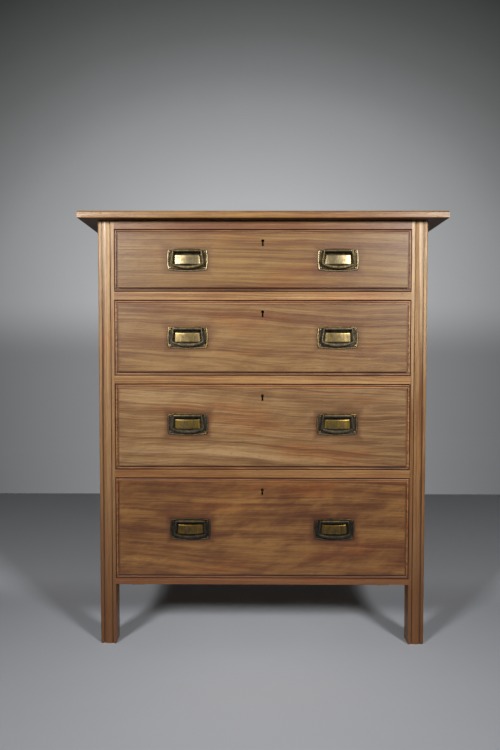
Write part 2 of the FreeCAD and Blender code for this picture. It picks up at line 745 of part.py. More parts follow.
def hollow_lock(word, blank):
    """Cut the key's well and the bolt's channel into a lock case."""
    well = block("key_well_" + word,
                 ("key_slot", "lock_well", "key_tall"),
                 ("-key_slot / 2", "lock_front",
                  "opening_%s - key_drop - key_tall / 2" % word))
    drop = "bolt_sink + bolt_tall + bolt_slack"
    channel = block("bolt_channel_" + word,
                    ("bolt_wide + 2 * bolt_slack", "bolt_thick + 2 * bolt_slack", drop),
                    ("-bolt_wide / 2 - bolt_slack", "bolt_middle - bolt_thick / 2 - bolt_slack",
                     "opening_%s - front_top_gap - (%s)" % (word, drop)))
    return cut("lock_case_" + word, blank, [well, channel])


def make_drawer_side(word):
    """Make the right-hand drawer side with its lapped tails in front."""
    body = new_body("side_blank_" + word)
    low = "drawer_run_gap"
    tall = "(opening_%s - drawer_head_gap - drawer_run_gap)" % word
    sketch = new_sketch(body, "side_outline_" + word, "YZ_Plane", "inside_half")
    rectangle(sketch, "front_inset", "drawer_long", low, "%s + %s" % (low, tall))
    pad(body, sketch, "drawer_side_thick")
    pitch = "%s / tails_%s" % (tall, word)
    flare = "tail_long / tail_slope"
    root = "front_inset"
    tip = "front_inset - tail_long"
    bottom = "%s + tail_gap / 2" % low
    top = "%s + %s - tail_gap / 2" % (low, pitch)
    tail = new_sketch(body, "tail_outline_" + word, "YZ_Plane", "inside_half")
    outline(tail, [(root, bottom), (root, top), (tip, "%s + %s" % (top, flare)),
                   (tip, "%s - %s" % (bottom, flare))])
    tail_pad = pad(body, tail, "drawer_side_thick")
    doc.recompute()
    row = body.newObject("PartDesign::LinearPattern", "tail_row_" + word)
    row.Originals = [tail_pad]
    row.Direction = (tail, ["V_Axis"])
    row.Mode = "Spacing"
    bind(row, "Offset", pitch)
    bind(row, "Occurrences", "tails_" + word)
    body.Tip = row
    return body


def make_drawer_back(word):
    """Make a drawer back, with pins at both ends for the sides' tails."""
    body = new_body("drawer_back_" + word)
    low = "back_floor"
    high = "opening_%s - drawer_head_gap - back_lower" % word
    front = "drawer_long - drawer_back_thick"
    board = new_sketch(body, "back_outline_" + word, "XZ_Plane", "-drawer_long")
    rectangle(board, "-inside_half", "inside_half", low, high)
    pad(body, board, "drawer_back_thick")
    pitch = "(%s - %s) / tails_%s" % (high, low, word)
    flare = "drawer_back_thick / tail_slope"
    wide = "tail_gap / 2"
    narrow = "(tail_gap / 2 - %s)" % flare

    ends = new_sketch(body, "half_pins_" + word, "YZ_Plane", "-front_half")
    outline(ends, [(front, low), ("drawer_long", low), ("drawer_long", "%s + %s" % (low, narrow)),
                   (front, "%s + %s" % (low, wide))])
    outline(ends, [(front, high), (front, "%s - %s" % (high, wide)),
                   ("drawer_long", "%s - %s" % (high, narrow)), ("drawer_long", high)])
    pad(body, ends, "2 * front_half")

    middle = "%s + %s" % (low, pitch)
    pin = new_sketch(body, "pin_outline_" + word, "YZ_Plane", "-front_half")
    outline(pin, [(front, "%s - %s" % (middle, wide)),
                  ("drawer_long", "%s - %s" % (middle, narrow)),
                  ("drawer_long", "%s + %s" % (middle, narrow)),
                  (front, "%s + %s" % (middle, wide))])
    pin_pad = pad(body, pin, "2 * front_half")
    doc.recompute()
    row = body.newObject("PartDesign::LinearPattern", "pin_row_" + word)
    row.Originals = [pin_pad]
    row.Direction = (pin, ["V_Axis"])
    row.Mode = "Spacing"
    bind(row, "Offset", pitch)
    bind(row, "Occurrences", "tails_%s - 1" % word)
    body.Tip = row
    return body


def make_plate():
    """Make one handle plate: rim, hinge barrel with two bores, and raised pad.

    Its own origin is in the middle of the plate, on the drawer's face.
    """
    body = new_body("handle_plate")

    def bowed(sketch, inset):
        half_wide = "(plate_wide / 2 - %s)" % inset
        half_tall = "(plate_tall / 2 - %s)" % inset
        outline(sketch, [
            ("-" + half_wide, "-" + half_tall, "plate_bow_long"),
            (half_wide, "-" + half_tall, "plate_bow_side"),
            (half_wide, half_tall, "plate_bow_long"),
            ("-" + half_wide, half_tall, "plate_bow_side"),
        ])

    plate_edge = new_sketch(body, "plate_outline", "XZ_Plane")
    bowed(plate_edge, "0")
    pad(body, plate_edge, "rim_tall")
    tray = new_sketch(body, "plate_tray", "XZ_Plane", "rim_tall")
    bowed(tray, "rim_wide")
    pocket(body, tray, "rim_tall - plate_thick")
    rim_face = -number("rim_tall")
    inside = number("plate_wide / 2 - rim_wide + plate_bow_side")

    def rim_edge(edge):
        box = edge.BoundBox
        return near(box.YMin, rim_face) and max(abs(box.XMin), abs(box.XMax)) > inside + 0.01

    bevel_edges(body, "rim_soft", "rim_bevel", rim_edge)

    top = "barrel_rise + barrel_across / 2"
    web = new_sketch(body, "barrel_web", "YZ_Plane", "-barrel_wide / 2")
    outline(web, [
        ("-plate_thick / 2", top),
        ("-plate_thick / 2", "%s - barrel_root" % top),
        ("-barrel_stand", "barrel_rise - barrel_across / 2"),
        ("-barrel_stand", top),
    ])
    pad(body, web, "barrel_wide")
    barrel = new_sketch(body, "barrel_section", "YZ_Plane", "-barrel_wide / 2")
    round_hole(barrel, "-barrel_stand", "barrel_rise", "barrel_across / 2")
    pad(body, barrel, "barrel_wide")
    for side, sign in (("right", ""), ("left", "-")):
        socket = new_sketch(body, "socket_" + side, "YZ_Plane", sign + "barrel_wide / 2")
        eight_sides(socket, "-barrel_stand", "barrel_rise", "(pin_across + 2 * pin_slack)")
        pocket(body, socket, "pin_grip + pin_end_gap", ahead=sign == "-")

    crown = new_sketch(body, "pad_section", "XY_Plane", "-pad_tall / 2")
    outline(crown, [
        ("-pad_wide / 2", "-plate_thick / 2"),
        ("-pad_wide / 2", "-pad_edge", "pad_crown"),
        ("pad_wide / 2", "-pad_edge"),
        ("pad_wide / 2", "-plate_thick / 2"),
    ])
    pad(body, crown, "pad_tall")
    return body


def make_bail():
    """Make one bail: two pins, two splayed arms and a bowed, swelling grip."""
    body = new_body("bail")
    top = "barrel_rise + eye_rise"
    ear = "barrel_rise - eye_rise"
    foot = "barrel_rise - foot_drop"
    inner = "barrel_rise - inner_drop"
    outer_top = "arm_top + arm_wide"
    outer_foot = "arm_foot + arm_foot_wide"
    frame = new_sketch(body, "bail_outline", "XZ_Plane", "barrel_stand - bail_thick / 2")
    outline(frame, [
        ("-(%s)" % outer_foot, foot, "grip_drop + grip_tall / 2 - foot_drop"),
        (outer_foot, foot),
        (outer_top, top),
        ("arm_top", top),
        ("arm_top", ear),
        ("arm_foot", inner, "inner_drop + grip_tall / 2 - grip_drop"),
        ("-arm_foot", inner),
        ("-arm_top", ear),
        ("-arm_top", top),
        ("-(%s)" % outer_top, top),
    ])
    pad(body, frame, "bail_thick")
    corner_out = number(outer_foot)
    corner_level = number(foot)

    def outer_corner(edge):
        box = edge.BoundBox
        return near(abs(box.XMin), corner_out) and all_at(edge, "z", corner_level)

    round_edges(body, "bail_corners", "bail_corner", outer_corner)
    for side, sign in (("right", ""), ("left", "-")):
        pin = new_sketch(body, "pin_" + side, "YZ_Plane", sign + "pin_inner")
        eight_sides(pin, "-barrel_stand", "barrel_rise", "(pin_across * cos(22.5))")
        pad(body, pin, "arm_top - pin_inner", back=sign == "-")
    return body


def make_drawer(word, plate, bail):
    """Make one drawer with its lock and its two handles.

    Its pieces share an origin at the rails' face, on the opening's floor.
    """
    name = "drawer_" + word
    at_floor = {"y": "front_face", "z": "floor_" + word}
    ceiling = "opening_" + word

    def node(item, suffix):
        return keep(place(item, **at_floor), name + suffix)

    right_blank = make_drawer_side(word)
    back = make_drawer_back(word)
    bottom = block("bottom_board_" + word,
                   ("2 * (inside_half + bottom_groove)",
                    "drawer_long - front_inset + bottom_groove", "drawer_bottom_thick"),
                   ("-(inside_half + bottom_groove)", "front_inset - bottom_groove",
                    "bottom_floor"))
    right_side = cut("right_side_" + word, right_blank, [back, bottom])
    left_side = mirror("left_side_" + word, right_side)
    sides = group("sides_" + word, [right_side, left_side])
    lock_blank = make_lock_blank(word)
    front = cut("front_" + word, make_front_blank(word),
                [right_blank, mirror("left_blank_" + word, right_blank), bottom, lock_blank])
    node(front, "_front")
    node(make_bead(word), "_moulding")
    node(sides, "_sides")
    node(group("back_" + word, [back]), "_back")
    node(group("bottom_" + word, [bottom]), "_bottom")
    node(hollow_lock(word, lock_blank), "_lock_case")

    top = "%s - front_top_gap - bolt_sink" % ceiling
    bolt = block("bolt_" + word, ("bolt_wide", "bolt_thick", "bolt_tall"),
                 ("-bolt_wide / 2", "front_face + bolt_middle - bolt_thick / 2",
                  "floor_%s + %s - bolt_tall" % (word, top)))
    keep(bolt, name + "_lock_bolt")

    apart = "handle_apart_low" if word == DRAWERS[-1] else "handle_apart"
    level = "floor_%s + %s / 2 + handle_rise_%s" % (word, ceiling, word)
    plates = []
    for side, sign in (("left", "-"), ("right", "")):
        spot = ("%s%s / 2" % (sign, apart), "front_face - field_proud", level)
        plates.append(place(clone("plate_%s_%s" % (side, word), plate), *spot))
        keep(place(clone("bail_%s_%s" % (side, word), bail), *spot), "%s_bail_%s" % (name, side))
    keep(group("plates_" + word, plates), name + "_handle_plates")


def check_model():
    """Stop if any object failed or any sub-part isn't a sound shape."""
    failed = [item.Label for item in doc.Objects if {"Invalid", "Error"} & set(item.State)]
    if failed:
        raise RuntimeError("failed objects: " + ", ".join(failed))
    for item in parts:
        shape = item.Shape
        if shape.isNull() or not shape.isValid() or not shape.Solids:
            raise RuntimeError("unsound shape: " + item.Label)


def main():
    """Build the chest and write one file for each sub-part."""
    fill_sheet()
    make_case()
    plate = make_plate()
    bail = make_bail()
    for word in DRAWERS:
        make_drawer(word, plate, bail)
    doc.recompute()
    check_model()
    os.makedirs("parts", exist_ok=True)
    for item in parts:
        item.Shape.exportStep("parts/%s.step" % item.Label)
    print("%d sub-parts written" % len(parts))


main()
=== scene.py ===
"""Looks of the jointed chest of drawers: polished wood, aged brass, screws and a plain studio."""
import logging
import math
from dataclasses import dataclass, field
from enum import Enum
from typing import Optional, Sequence, Union

import bmesh
import bpy
from mathutils import Matrix, Vector


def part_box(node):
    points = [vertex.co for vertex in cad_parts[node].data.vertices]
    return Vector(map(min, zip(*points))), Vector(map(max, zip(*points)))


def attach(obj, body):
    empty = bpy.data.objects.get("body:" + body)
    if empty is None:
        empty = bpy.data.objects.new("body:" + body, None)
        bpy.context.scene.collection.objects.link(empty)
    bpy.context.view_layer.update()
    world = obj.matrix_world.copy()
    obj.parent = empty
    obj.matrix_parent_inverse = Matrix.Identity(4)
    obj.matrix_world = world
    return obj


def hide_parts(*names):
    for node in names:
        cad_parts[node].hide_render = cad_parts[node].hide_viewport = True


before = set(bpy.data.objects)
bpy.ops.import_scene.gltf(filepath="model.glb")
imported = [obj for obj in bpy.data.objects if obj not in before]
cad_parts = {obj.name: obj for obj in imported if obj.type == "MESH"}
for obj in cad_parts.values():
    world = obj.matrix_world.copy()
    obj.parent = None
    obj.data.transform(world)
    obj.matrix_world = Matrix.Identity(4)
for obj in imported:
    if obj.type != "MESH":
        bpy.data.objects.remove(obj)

LOG = logging.getLogger("chest")
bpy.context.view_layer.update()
MM = 0.001

Colour = tuple[float, float, float]
Point = tuple[float, float, float]
Flat = tuple[float, float]
Socket = bpy.types.NodeSocket
Source = Union[Socket, float, Sequence[float]]


def paint(shade: Sequence[float]) -> tuple[float, float, float, float]:
    """Turn a colour seen on a screen into the light that a shader mixes.

    Args:
        shade: its red, green and blue, 0 to 255.

    Returns:
        The linear colour with full opacity.
    """
    parts = [channel / 255 for channel in shade]
    linear = [p / 12.92 if p <= 0.04045 else ((p + 0.055) / 1.055) ** 2.4 for p in parts]
    return (linear[0], linear[1], linear[2], 1.0)


def set_out(name: str, data: bpy.types.ID) -> bpy.types.Object:
    """Make an object of its mesh, curve, light or camera, and put it in the scene.

    Args:
        name: the object's name.
        data: what it is made of.

    Returns:
        The object, at the origin.
    """
    made = bpy.data.objects.new(name, data)
    bpy.context.scene.collection.objects.link(made)
    return made


class Grain(Enum):
    """The way that a board's fibres run, as the order of its along, across and depth axes."""

    ALONG_X = (0, 2, 1)
    ALONG_X_FLAT = (0, 1, 2)
    ALONG_Y = (1, 2, 0)
    ALONG_Z = (2, 0, 1)


class Figure(Enum):
    """The figure of a board: its waves' height, and the strength of its slanting curl."""

    STRAIGHT = (0.0030, 0.16)
    WAVY = (0.0060, 0.26)
    CURLY = (0.0050, 0.6)


class Side(Enum):
    """The side of the chest, as the sign of X."""

    LEFT = -1
    RIGHT = 1


@dataclass(frozen=True)
class Layer:
    """One layer of noise.

    Attributes:
        factors: how fast it changes with each of its three values.
        detail: number of finer layers in it.
        rough: strength of the finer layers.
    """

    factors: tuple[float, float, float]
    detail: float = 2.0
    rough: float = 0.5


# Layers of the wood, along, across and in the depth of the board.
BROAD_WANDER = Layer((1.6, 3.4, 3.4), 1.0)
SMALL_WANDER = Layer((8.0, 11.0, 11.0), 1.0)
FIBRES = Layer((14.0, 620.0, 620.0), 2.0, 0.6)
PORES = Layer((70.0, 1300.0, 1300.0), 1.0)
CLOUDS = Layer((2.6, 9.0, 9.0), 2.0, 0.55)
FLAMES = Layer((11.0, 26.0, 8.0), 3.0, 0.6)
GLOW = Layer((4.0, 14.0, 14.0), 3.0, 0.6)
STRANDS = Layer((5.0, 260.0, 260.0), 3.0, 0.65)
PATCHES = Layer((9.0, 9.0, 17.0), 3.0, 0.6)

# Layers of the handles' brass, along X, Y and Z.
BLOTCHES = Layer((90.0, 90.0, 90.0), 4.0, 0.65)
SPECKS = Layer((620.0, 620.0, 620.0), 2.0, 0.6)
RUBS = Layer((520.0, 300.0, 50.0))

# Where a board's pale, body and dark colours stand on its tone, and a brass's dark, aged and
# bright ones on its wear.
WOOD_STOPS = (0.41, 0.5, 0.6)
BRASS_STOPS = (0.08, 0.45, 0.92)

# Colours that all woods share: the warm light in the polish, and wood that was never polished,
# which is painted dark as the shade under the top board, with the height over which it meets
# the polish.
WARM = (196, 124, 56)
RAW_SHADED = (62, 40, 20)
RAW_SHADED_FADE = 0.6 * MM


class NodeSheet:
    """A node tree that is filled through short calls."""

    def __init__(self, tree: bpy.types.NodeTree) -> None:
        """Keep the tree and clear it."""
        self.tree = tree
        self.tree.nodes.clear()

    def feed(self, socket: Socket, value: Source) -> None:
        """Link a socket to its source, or set its value.

        Args:
            socket: the input to feed.
            value: another node's output, or a plain value.
        """
        if isinstance(value, Socket):
            self.tree.links.new(value, socket)
        else:
            socket.default_value = value

    def add(self, kind: str, inputs: Optional[dict] = None, **settings: object) -> bpy.types.Node:
        """Add one node.

        Args:
            kind: the node's type name.
            inputs: sources or values by the input's name or number.
            **settings: the node's own options.

        Returns:
            The new node.
        """
        node = self.tree.nodes.new(kind)
        for name, setting in settings.items():
            setattr(node, name, setting)
        for key, value in (inputs or {}).items():
            self.feed(node.inputs[key], value)
        return node

    def math(self, operation: str, *values: Source) -> Socket:
        """Work out one operation on the values."""
        return self.add("ShaderNodeMath", dict(enumerate(values)), operation=operation).outputs[0]

    def join(self, *values: Source) -> Socket:
        """Make a vector of three values."""
        return self.add("ShaderNodeCombineXYZ", dict(enumerate(values))).outputs[0]

    def length(self, first: Source, second: Source) -> Socket:
        """Return the length of the vector that has these two values."""
        vector = self.join(first, second, 0.0)
        return self.add("ShaderNodeVectorMath", {0: vector}, operation="LENGTH").outputs["Value"]

    def gap(self, value: Source, middle: float) -> Socket:
        """Return how far a value is from a middle."""
        return self.math("ABSOLUTE", self.math("SUBTRACT", value, middle))

    def away(self, values: Sequence[Source], middle: Flat, reach: Flat) -> Socket:
        """Return how far a place is from a middle, where each way has a reach of its own.

        Args:
            values: the place.
            middle: the middle.
            reach: what counts as 1 in either way.

        Returns:
            The distance.
        """
        spans = zip(values, middle, reach)
        parts = [self.math("DIVIDE", self.math("SUBTRACT", v, m), span) for v, m, span in spans]
        return self.length(*parts)

    def weigh(self, *shares: tuple[Source, float]) -> Socket:
        """Add values up, each times its share.

        Args:
            *shares: the values and their shares.

        Returns:
            The sum.
        """
        total = 0.0
        for value, share in shares:
            total = self.math("MULTIPLY_ADD", value, share, total)
        return total

    def sway(self, noise: Source, strength: float, value: Source) -> Socket:
        """Add a noise to a value, taken about the noise's average of a half."""
        return self.math("MULTIPLY_ADD", self.math("SUBTRACT", noise, 0.5), strength, value)

    def noise(self, parts: Sequence[Source], layer: Layer) -> Socket:
        """Read a layer of noise.

        Args:
            parts: the three values that it is read at.
            layer: the layer.

        Returns:
            The value, about 0.5 on average.
        """
        scaled = [self.math("MULTIPLY", part, by) for part, by in zip(parts, layer.factors)]
        inputs = {"Vector": self.join(*scaled), "Scale": 1.0, "Detail": layer.detail,
                  "Roughness": layer.rough}
        return self.add("ShaderNodeTexNoise", inputs).outputs[0]

    def remap(self, value: Source, low: float, high: float, start: float = 0.0, end: float = 1.0,
              way: str = "SMOOTHSTEP") -> Socket:
        """Map the range from low to high to the one from start to end, and clamp it."""
        inputs = {0: value, 1: low, 2: high, 3: start, 4: end}
        return self.add("ShaderNodeMapRange", inputs, interpolation_type=way).outputs[0]

    def ramp(self, value: Source, stops: Sequence[tuple[float, Colour]]) -> Socket:
        """Colour a value.

        Args:
            value: what is coloured, 0 to 1.
            stops: place and colour of each stop.

        Returns:
            The colour.
        """
        node = self.add("ShaderNodeValToRGB", {0: value})
        elements = node.color_ramp.elements
        for number, (place, shade) in enumerate((stops[0], stops[-1])):
            elements[number].position, elements[number].color = place, paint(shade)
        for place, shade in stops[1:-1]:
            elements.new(place).color = paint(shade)
        return node.outputs[0]

    def mix(self, amount: Source, below: Union[Socket, Colour], above: Union[Socket, Colour],
            blend: str = "MIX") -> Socket:
        """Mix two colours.

        Args:
            amount: share of the colour above.
            below: the colour below, a source or plain.
            above: the colour above, a source or plain.
            blend: the way they mix.

        Returns:
            The mixed colour.
        """
        first, second = [c if isinstance(c, Socket) else paint(c) for c in (below, above)]
        inputs = {0: amount, 6: first, 7: second}
        return self.add("ShaderNodeMix", inputs, data_type="RGBA", blend_type=blend).outputs[2]

    def overlay(self, below: Source, above: Colour, noise: Source, window: Flat, strength: float,
                blend: str = "MIX") -> Socket:
        """Lay a colour over another one, from nothing to its strength across a noise's window."""
        return self.mix(self.remap(noise, *window, 0.0, strength), below, above, blend)

    def seen(self) -> Socket:
        """Return 1 for what is seen directly or in a reflection, and 0 for all other light."""
        path = self.add("ShaderNodeLightPath").outputs
        mirrored = self.math("ADD", path["Is Glossy Ray"], path["Is Transmission Ray"])
        return self.math("ADD", path["Is Camera Ray"], mirrored)


class Shader(NodeSheet):
    """A material with one Principled surface."""

    def __init__(self, name: str) -> None:
        """Start a material.

        Args:
            name: the material's name.
        """
        self.material = bpy.data.materials.new(name)
        self.material.use_nodes = True
        super().__init__(self.material.node_tree)
        self.surface = self.add("ShaderNodeBsdfPrincipled")
        self.output = self.add("ShaderNodeOutputMaterial", {0: self.surface.outputs[0]})

    def place(self) -> list[Socket]:
        """Return x, y and z of the surface point, in metres."""
        coordinates = self.add("ShaderNodeTexCoord").outputs["Object"]
        return list(self.add("ShaderNodeSeparateXYZ", {0: coordinates}).outputs)

    def bump(self, height: Source, distance: float, strength: float) -> Socket:
        """Turn a height of 0 to 1 into a normal, by its real height in metres and what shows."""
        inputs = {"Height": height, "Distance": distance, "Strength": strength}
        return self.add("ShaderNodeBump", inputs).outputs[0]

    def finish(self, **inputs: Source) -> bpy.types.Material:
        """Feed the surface's sockets.

        Args:
            **inputs: sources by the socket's name, with underscores for spaces.

        Returns:
            The finished material.
        """
        for name, value in inputs.items():
            self.feed(self.surface.inputs[name.replace("_", " ")], value)
        return self.material


@dataclass(frozen=True)
class DarkPatch:
    """A darker patch, of gathered polish and of painted shade, that fades both ways from the edge
    of a rectangle in X and Z.

    Attributes:
        middle: x and z of the rectangle's middle.
        half: half its width and height.
        reach: distance at which it has faded.
        strength: share of the patch's colour at the edge.
    """

    middle: Flat
    half: Flat
    reach: float
    strength: float

    def lay(self, shader: Shader, xyz: Sequence[Socket], below: Socket, above: Colour) -> Socket:
        """Lay the patch over a colour.

        Args:
            shader: the material that is built.
            xyz: the surface point.
            below: the colour below the patch.
            above: the patch's colour.

        Returns:
            The colour with the patch.
        """
        spans = zip((xyz[0], xyz[2]), self.middle, self.half)
        outside = [shader.math("SUBTRACT", shader.gap(v, m), half) for v, m, half in spans]
        edge = shader.math("ABSOLUTE", shader.math("MAXIMUM", *outside))
        uneven = shader.remap(shader.noise(xyz, PATCHES), 0.3, 0.7, 1.7, 0.6)
        edge = shader.math("MULTIPLY", edge, uneven)
        return shader.mix(shader.remap(edge, 0.0, self.reach, self.strength, 0.0), below, above)


@dataclass(frozen=True)
class Groove:
    """Dust and painted shade in a groove that runs up both front posts.

    Attributes:
        middle: the groove's distance from the middle of the chest.
        half: half its width.
        strength: share of the darkening's colour.
        shade: the colour of the dust and painted shade.
        mouth: y where the darkening begins and where it is in full, inwards from the posts' face.
        floor: y where it begins to thin out, and where it is thinnest.
        rest: the share that is left there.
    """

    middle: float
    half: float
    strength: float
    shade: Colour = (48, 26, 14)
    mouth: Flat = (-0.2076, -0.2066)
    floor: Flat = (-0.2055, -0.2040)
    rest: float = 0.3

    def lay(self, shader: Shader, xyz: Sequence[Socket], below: Socket) -> Socket:
        """Lay the dust and painted shade over a colour.

        Args:
            shader: the material that is built.
            xyz: the surface point.
            below: the colour below the darkening.

        Returns:
            The colour with the dust and painted shade.
        """
        off = shader.gap(shader.math("ABSOLUTE", xyz[0]), self.middle)
        within = shader.remap(off, self.half, 1.6 * self.half, self.strength, 0.0)
        floor = shader.math("ADD", shader.remap(xyz[1], *self.floor, 1.0, 0.0), self.rest)
        deep = shader.math("MULTIPLY", shader.remap(xyz[1], *self.mouth, 0.0, 1.0), floor)
        return shader.mix(shader.math("MULTIPLY", within, deep), below, self.shade)


@dataclass(frozen=True)
class WoodFinish:
    """Figured hardwood under a rubbed polish.

    Attributes:
        name: the material's name.
        pale: the lightest wood between the growth rings.
        body: its common colour.
        dark: the rings' dense lines.
        stain_and_shade: old polish that has gathered, and the colour of painted shade.
        grain: the way that the fibres run.
        figure: the kind of figure.
        heart: the rings' centre, across the board and in its depth.
        ring: spacing of the broad bands.
        waver: how far the bands wander.
        slant: the rings' drift along the board.
        shift: moves the pattern, so that boards differ.
        gloss: the polish's roughness.
        coat: weight of the wax over it.
        raw_shaded_below: height under which the wood is unpolished and painted dark as shade, or 0.
        foot: painted shade, darker towards the floor: heights where the wood is darkest and where
            that ends, and its strength.
        dark_patches: patches of gathered polish and of painted shade.
        grooves: dusty grooves.
    """

    name: str
    pale: Colour
    body: Colour
    dark: Colour
    stain_and_shade: Colour = (96, 52, 28)
    grain: Grain = Grain.ALONG_X
    figure: Figure = Figure.STRAIGHT
    heart: Flat = (-0.4, 0.2)
    ring: float = 0.014
    waver: float = 0.012
    slant: float = 0.02
    shift: float = 0.0
    gloss: float = 0.38
    coat: float = 0.2
    raw_shaded_below: float = 0.0
    foot: tuple[float, float, float] = (0.0, 1.0, 0.0)
    dark_patches: tuple[DarkPatch, ...] = ()
    grooves: tuple[Groove, ...] = ()

    def material(self) -> bpy.types.Material:
        """Build the wood's material.

        Returns:
            The material.
        """
        shader = Shader(self.name)
        xyz = shader.place()
        parts = [shader.math("ADD", xyz[axis], self.shift) for axis in self.grain.value]
        fibres, clouds = shader.noise(parts, FIBRES), shader.noise(parts, CLOUDS)
        colour = self._figured(shader, parts, fibres, clouds)
        # Painted shade: the wood grows darker towards the floor.
        low, high, strength = self.foot
        if strength:
            height = shader.sway(clouds, 0.25, xyz[2])
            amount = shader.remap(height, low, high, strength, 0.0, "LINEAR")
            colour = shader.mix(amount, colour, self.stain_and_shade)
        # Patches of gathered polish and of painted shade.
        for stain_and_shade in self.dark_patches:
            colour = stain_and_shade.lay(shader, xyz, colour, self.stain_and_shade)
        # Dust and painted shade in grooves.
        for groove in self.grooves:
            colour = groove.lay(shader, xyz, colour)
        rough = shader.remap(fibres, 0.3, 0.7, self.gloss - 0.06, self.gloss + 0.08)
        # Unpolished, rough wood under the top board, painted dark as the shade there.
        if self.raw_shaded_below:
            raw_shaded = shader.remap(xyz[2], self.raw_shaded_below, self.raw_shaded_below + RAW_SHADED_FADE, 1.0, 0.0)
            colour = shader.mix(shader.math("MULTIPLY", raw_shaded, 0.8), colour, RAW_SHADED)
            rough = shader.math("MAXIMUM", rough, shader.math("MULTIPLY", raw_shaded, 0.95))
        pores = shader.remap(shader.noise(parts, PORES), 0.60, 0.72, 0.0, 0.5)
        height = shader.weigh((fibres, 0.6), (pores, -1.2))
        return shader.finish(
            Base_Color=shader.mix(pores, colour, tuple(0.5 * channel for channel in self.dark)),
            Roughness=rough,
            Normal=shader.bump(height, distance=0.00025, strength=0.5),
            Coat_Weight=self.coat,
            Coat_Roughness=0.28,
            IOR=1.65,
        )

    def _figured(self, shader: Shader, parts: Sequence[Socket], fibres: Socket,
                 clouds: Socket) -> Socket:
        """Colour the wood by its rings, its waves, its curl and its strands.

        Args:
            shader: the material that is built.
            parts: the place along, across and in the depth of the board.
            fibres: the fine fibres.
            clouds: the broad patches.

        Returns:
            The wood's colour.
        """
        along, across, depth = parts
        wave, curl = self.figure.value
        wander = across
        for layer, reach in ((BROAD_WANDER, self.waver), (SMALL_WANDER, wave)):
            wander = shader.math("MULTIPLY_ADD", shader.noise(parts, layer), 2 * reach, wander)
        aside = shader.math("SUBTRACT", wander, self.heart[0] + self.shift)
        below = shader.math("SUBTRACT", depth, self.heart[1] + self.shift)
        rings = shader.math("MULTIPLY_ADD", along, self.slant, shader.length(aside, below))
        ringed = (along, self.shift, rings)
        bands = shader.noise(ringed, Layer((1.3, 1.0, 1 / self.ring), 2.0, 0.55))
        lines = shader.noise(ringed, Layer((3.0, 5.0, 4.5 / self.ring), 4.0, 0.72))
        streaks = shader.noise(ringed, Layer((0.9, 9.0, 2.3 / self.ring)))
        tone = shader.weigh((lines, 0.26), (bands, 0.36), (clouds, 0.20), (fibres, 0.18))
        colour = shader.ramp(tone, list(zip(WOOD_STOPS, (self.pale, self.body, self.dark))))
        colour = shader.overlay(colour, self.stain_and_shade, streaks, (0.53, 0.72), 0.6)
        leaning = shader.math("MULTIPLY_ADD", across, 0.4, along)
        slanting = shader.math("MULTIPLY_ADD", along, -0.4, wander)
        flames = shader.noise((leaning, slanting, depth), FLAMES)
        colour = shader.overlay(colour, self.stain_and_shade, flames, (0.46, 0.70), curl)
        colour = shader.overlay(colour, self.pale, flames, (0.48, 0.28), 0.9 * curl)
        glow = shader.noise(parts, GLOW)
        colour = shader.overlay(colour, WARM, glow, (0.5, 0.75), 0.4, "SOFT_LIGHT")
        strands = shader.noise((along, wander, depth), STRANDS)
        colour = shader.overlay(colour, self.stain_and_shade, strands, (0.53, 0.68), 0.45)
        return shader.overlay(colour, self.pale, strands, (0.47, 0.32), 0.45)


@dataclass(frozen=True)
class BrassFinish:
    """Old brass: rubbed bright where hands and cloths reach, brown and olive elsewhere.

    Attributes:
        name: the material's name.
        bright: the rubbed metal.
        aged: the metal under a thin patina.
        dark: the thick patina in corners.
        polish: the rubbed metal's roughness.
        shift: moves the mottling.
    """

    name: str
    bright: Colour
    aged: Colour
    dark: Colour
    polish: float
    shift: float

    def material(self) -> bpy.types.Material:
        """Build the brass's material.

        It reads the attribute wear, from 0 for thick patina to 1 for bright metal.

        Returns:
            The material.
        """
        shader = Shader(self.name)
        moved = [shader.math("ADD", part, self.shift) for part in shader.place()]
        blotches, specks, rubs = [shader.noise(moved, layer) for layer in (BLOTCHES, SPECKS, RUBS)]
        level = shader.add("ShaderNodeAttribute", attribute_name="wear").outputs["Fac"]
        for noise, strength in ((blotches, 1.1), (specks, 0.3), (rubs, 0.6)):
            level = shader.sway(noise, strength, level)
        rough = shader.remap(level, 0.1, 0.8, 0.56, self.polish)
        height = shader.weigh((blotches, 0.8), (specks, 0.5))
        stops = list(zip(BRASS_STOPS, (self.dark, self.aged, self.bright)))
        return shader.finish(
            Base_Color=shader.ramp(level, stops),
            Metallic=shader.remap(level, 0.0, 0.45, 0.55, 1.0),
            Roughness=shader.sway(rubs, 0.16, rough),
            Normal=shader.bump(height, distance=0.0002, strength=0.25),
        )


@dataclass(frozen=True)
class PlainMetal:
    """The locks' metal, dulled by age.

    Attributes:
        name: the material's name.
        clean: the metal.
        dull: its stains.
        polish: roughness of the clean metal.
    """

    name: str
    clean: Colour
    dull: Colour
    polish: float = 0.35

    def material(self) -> bpy.types.Material:
        """Build the metal's material.

        Returns:
            The material.
        """
        shader = Shader(self.name)
        xyz = shader.place()
        clouds = shader.noise(xyz, Layer((120.0, 120.0, 120.0), 4.0, 0.6))
        brushed = shader.noise(xyz, Layer((40.0, 900.0, 900.0)))
        return shader.finish(
            Base_Color=shader.ramp(clouds, [(0.35, self.clean), (0.7, self.dull)]),
            Metallic=1.0,
            Roughness=shader.remap(clouds, 0.3, 0.7, self.polish, self.polish + 0.25),
            Normal=shader.bump(brushed, distance=0.00012, strength=0.4),
        )


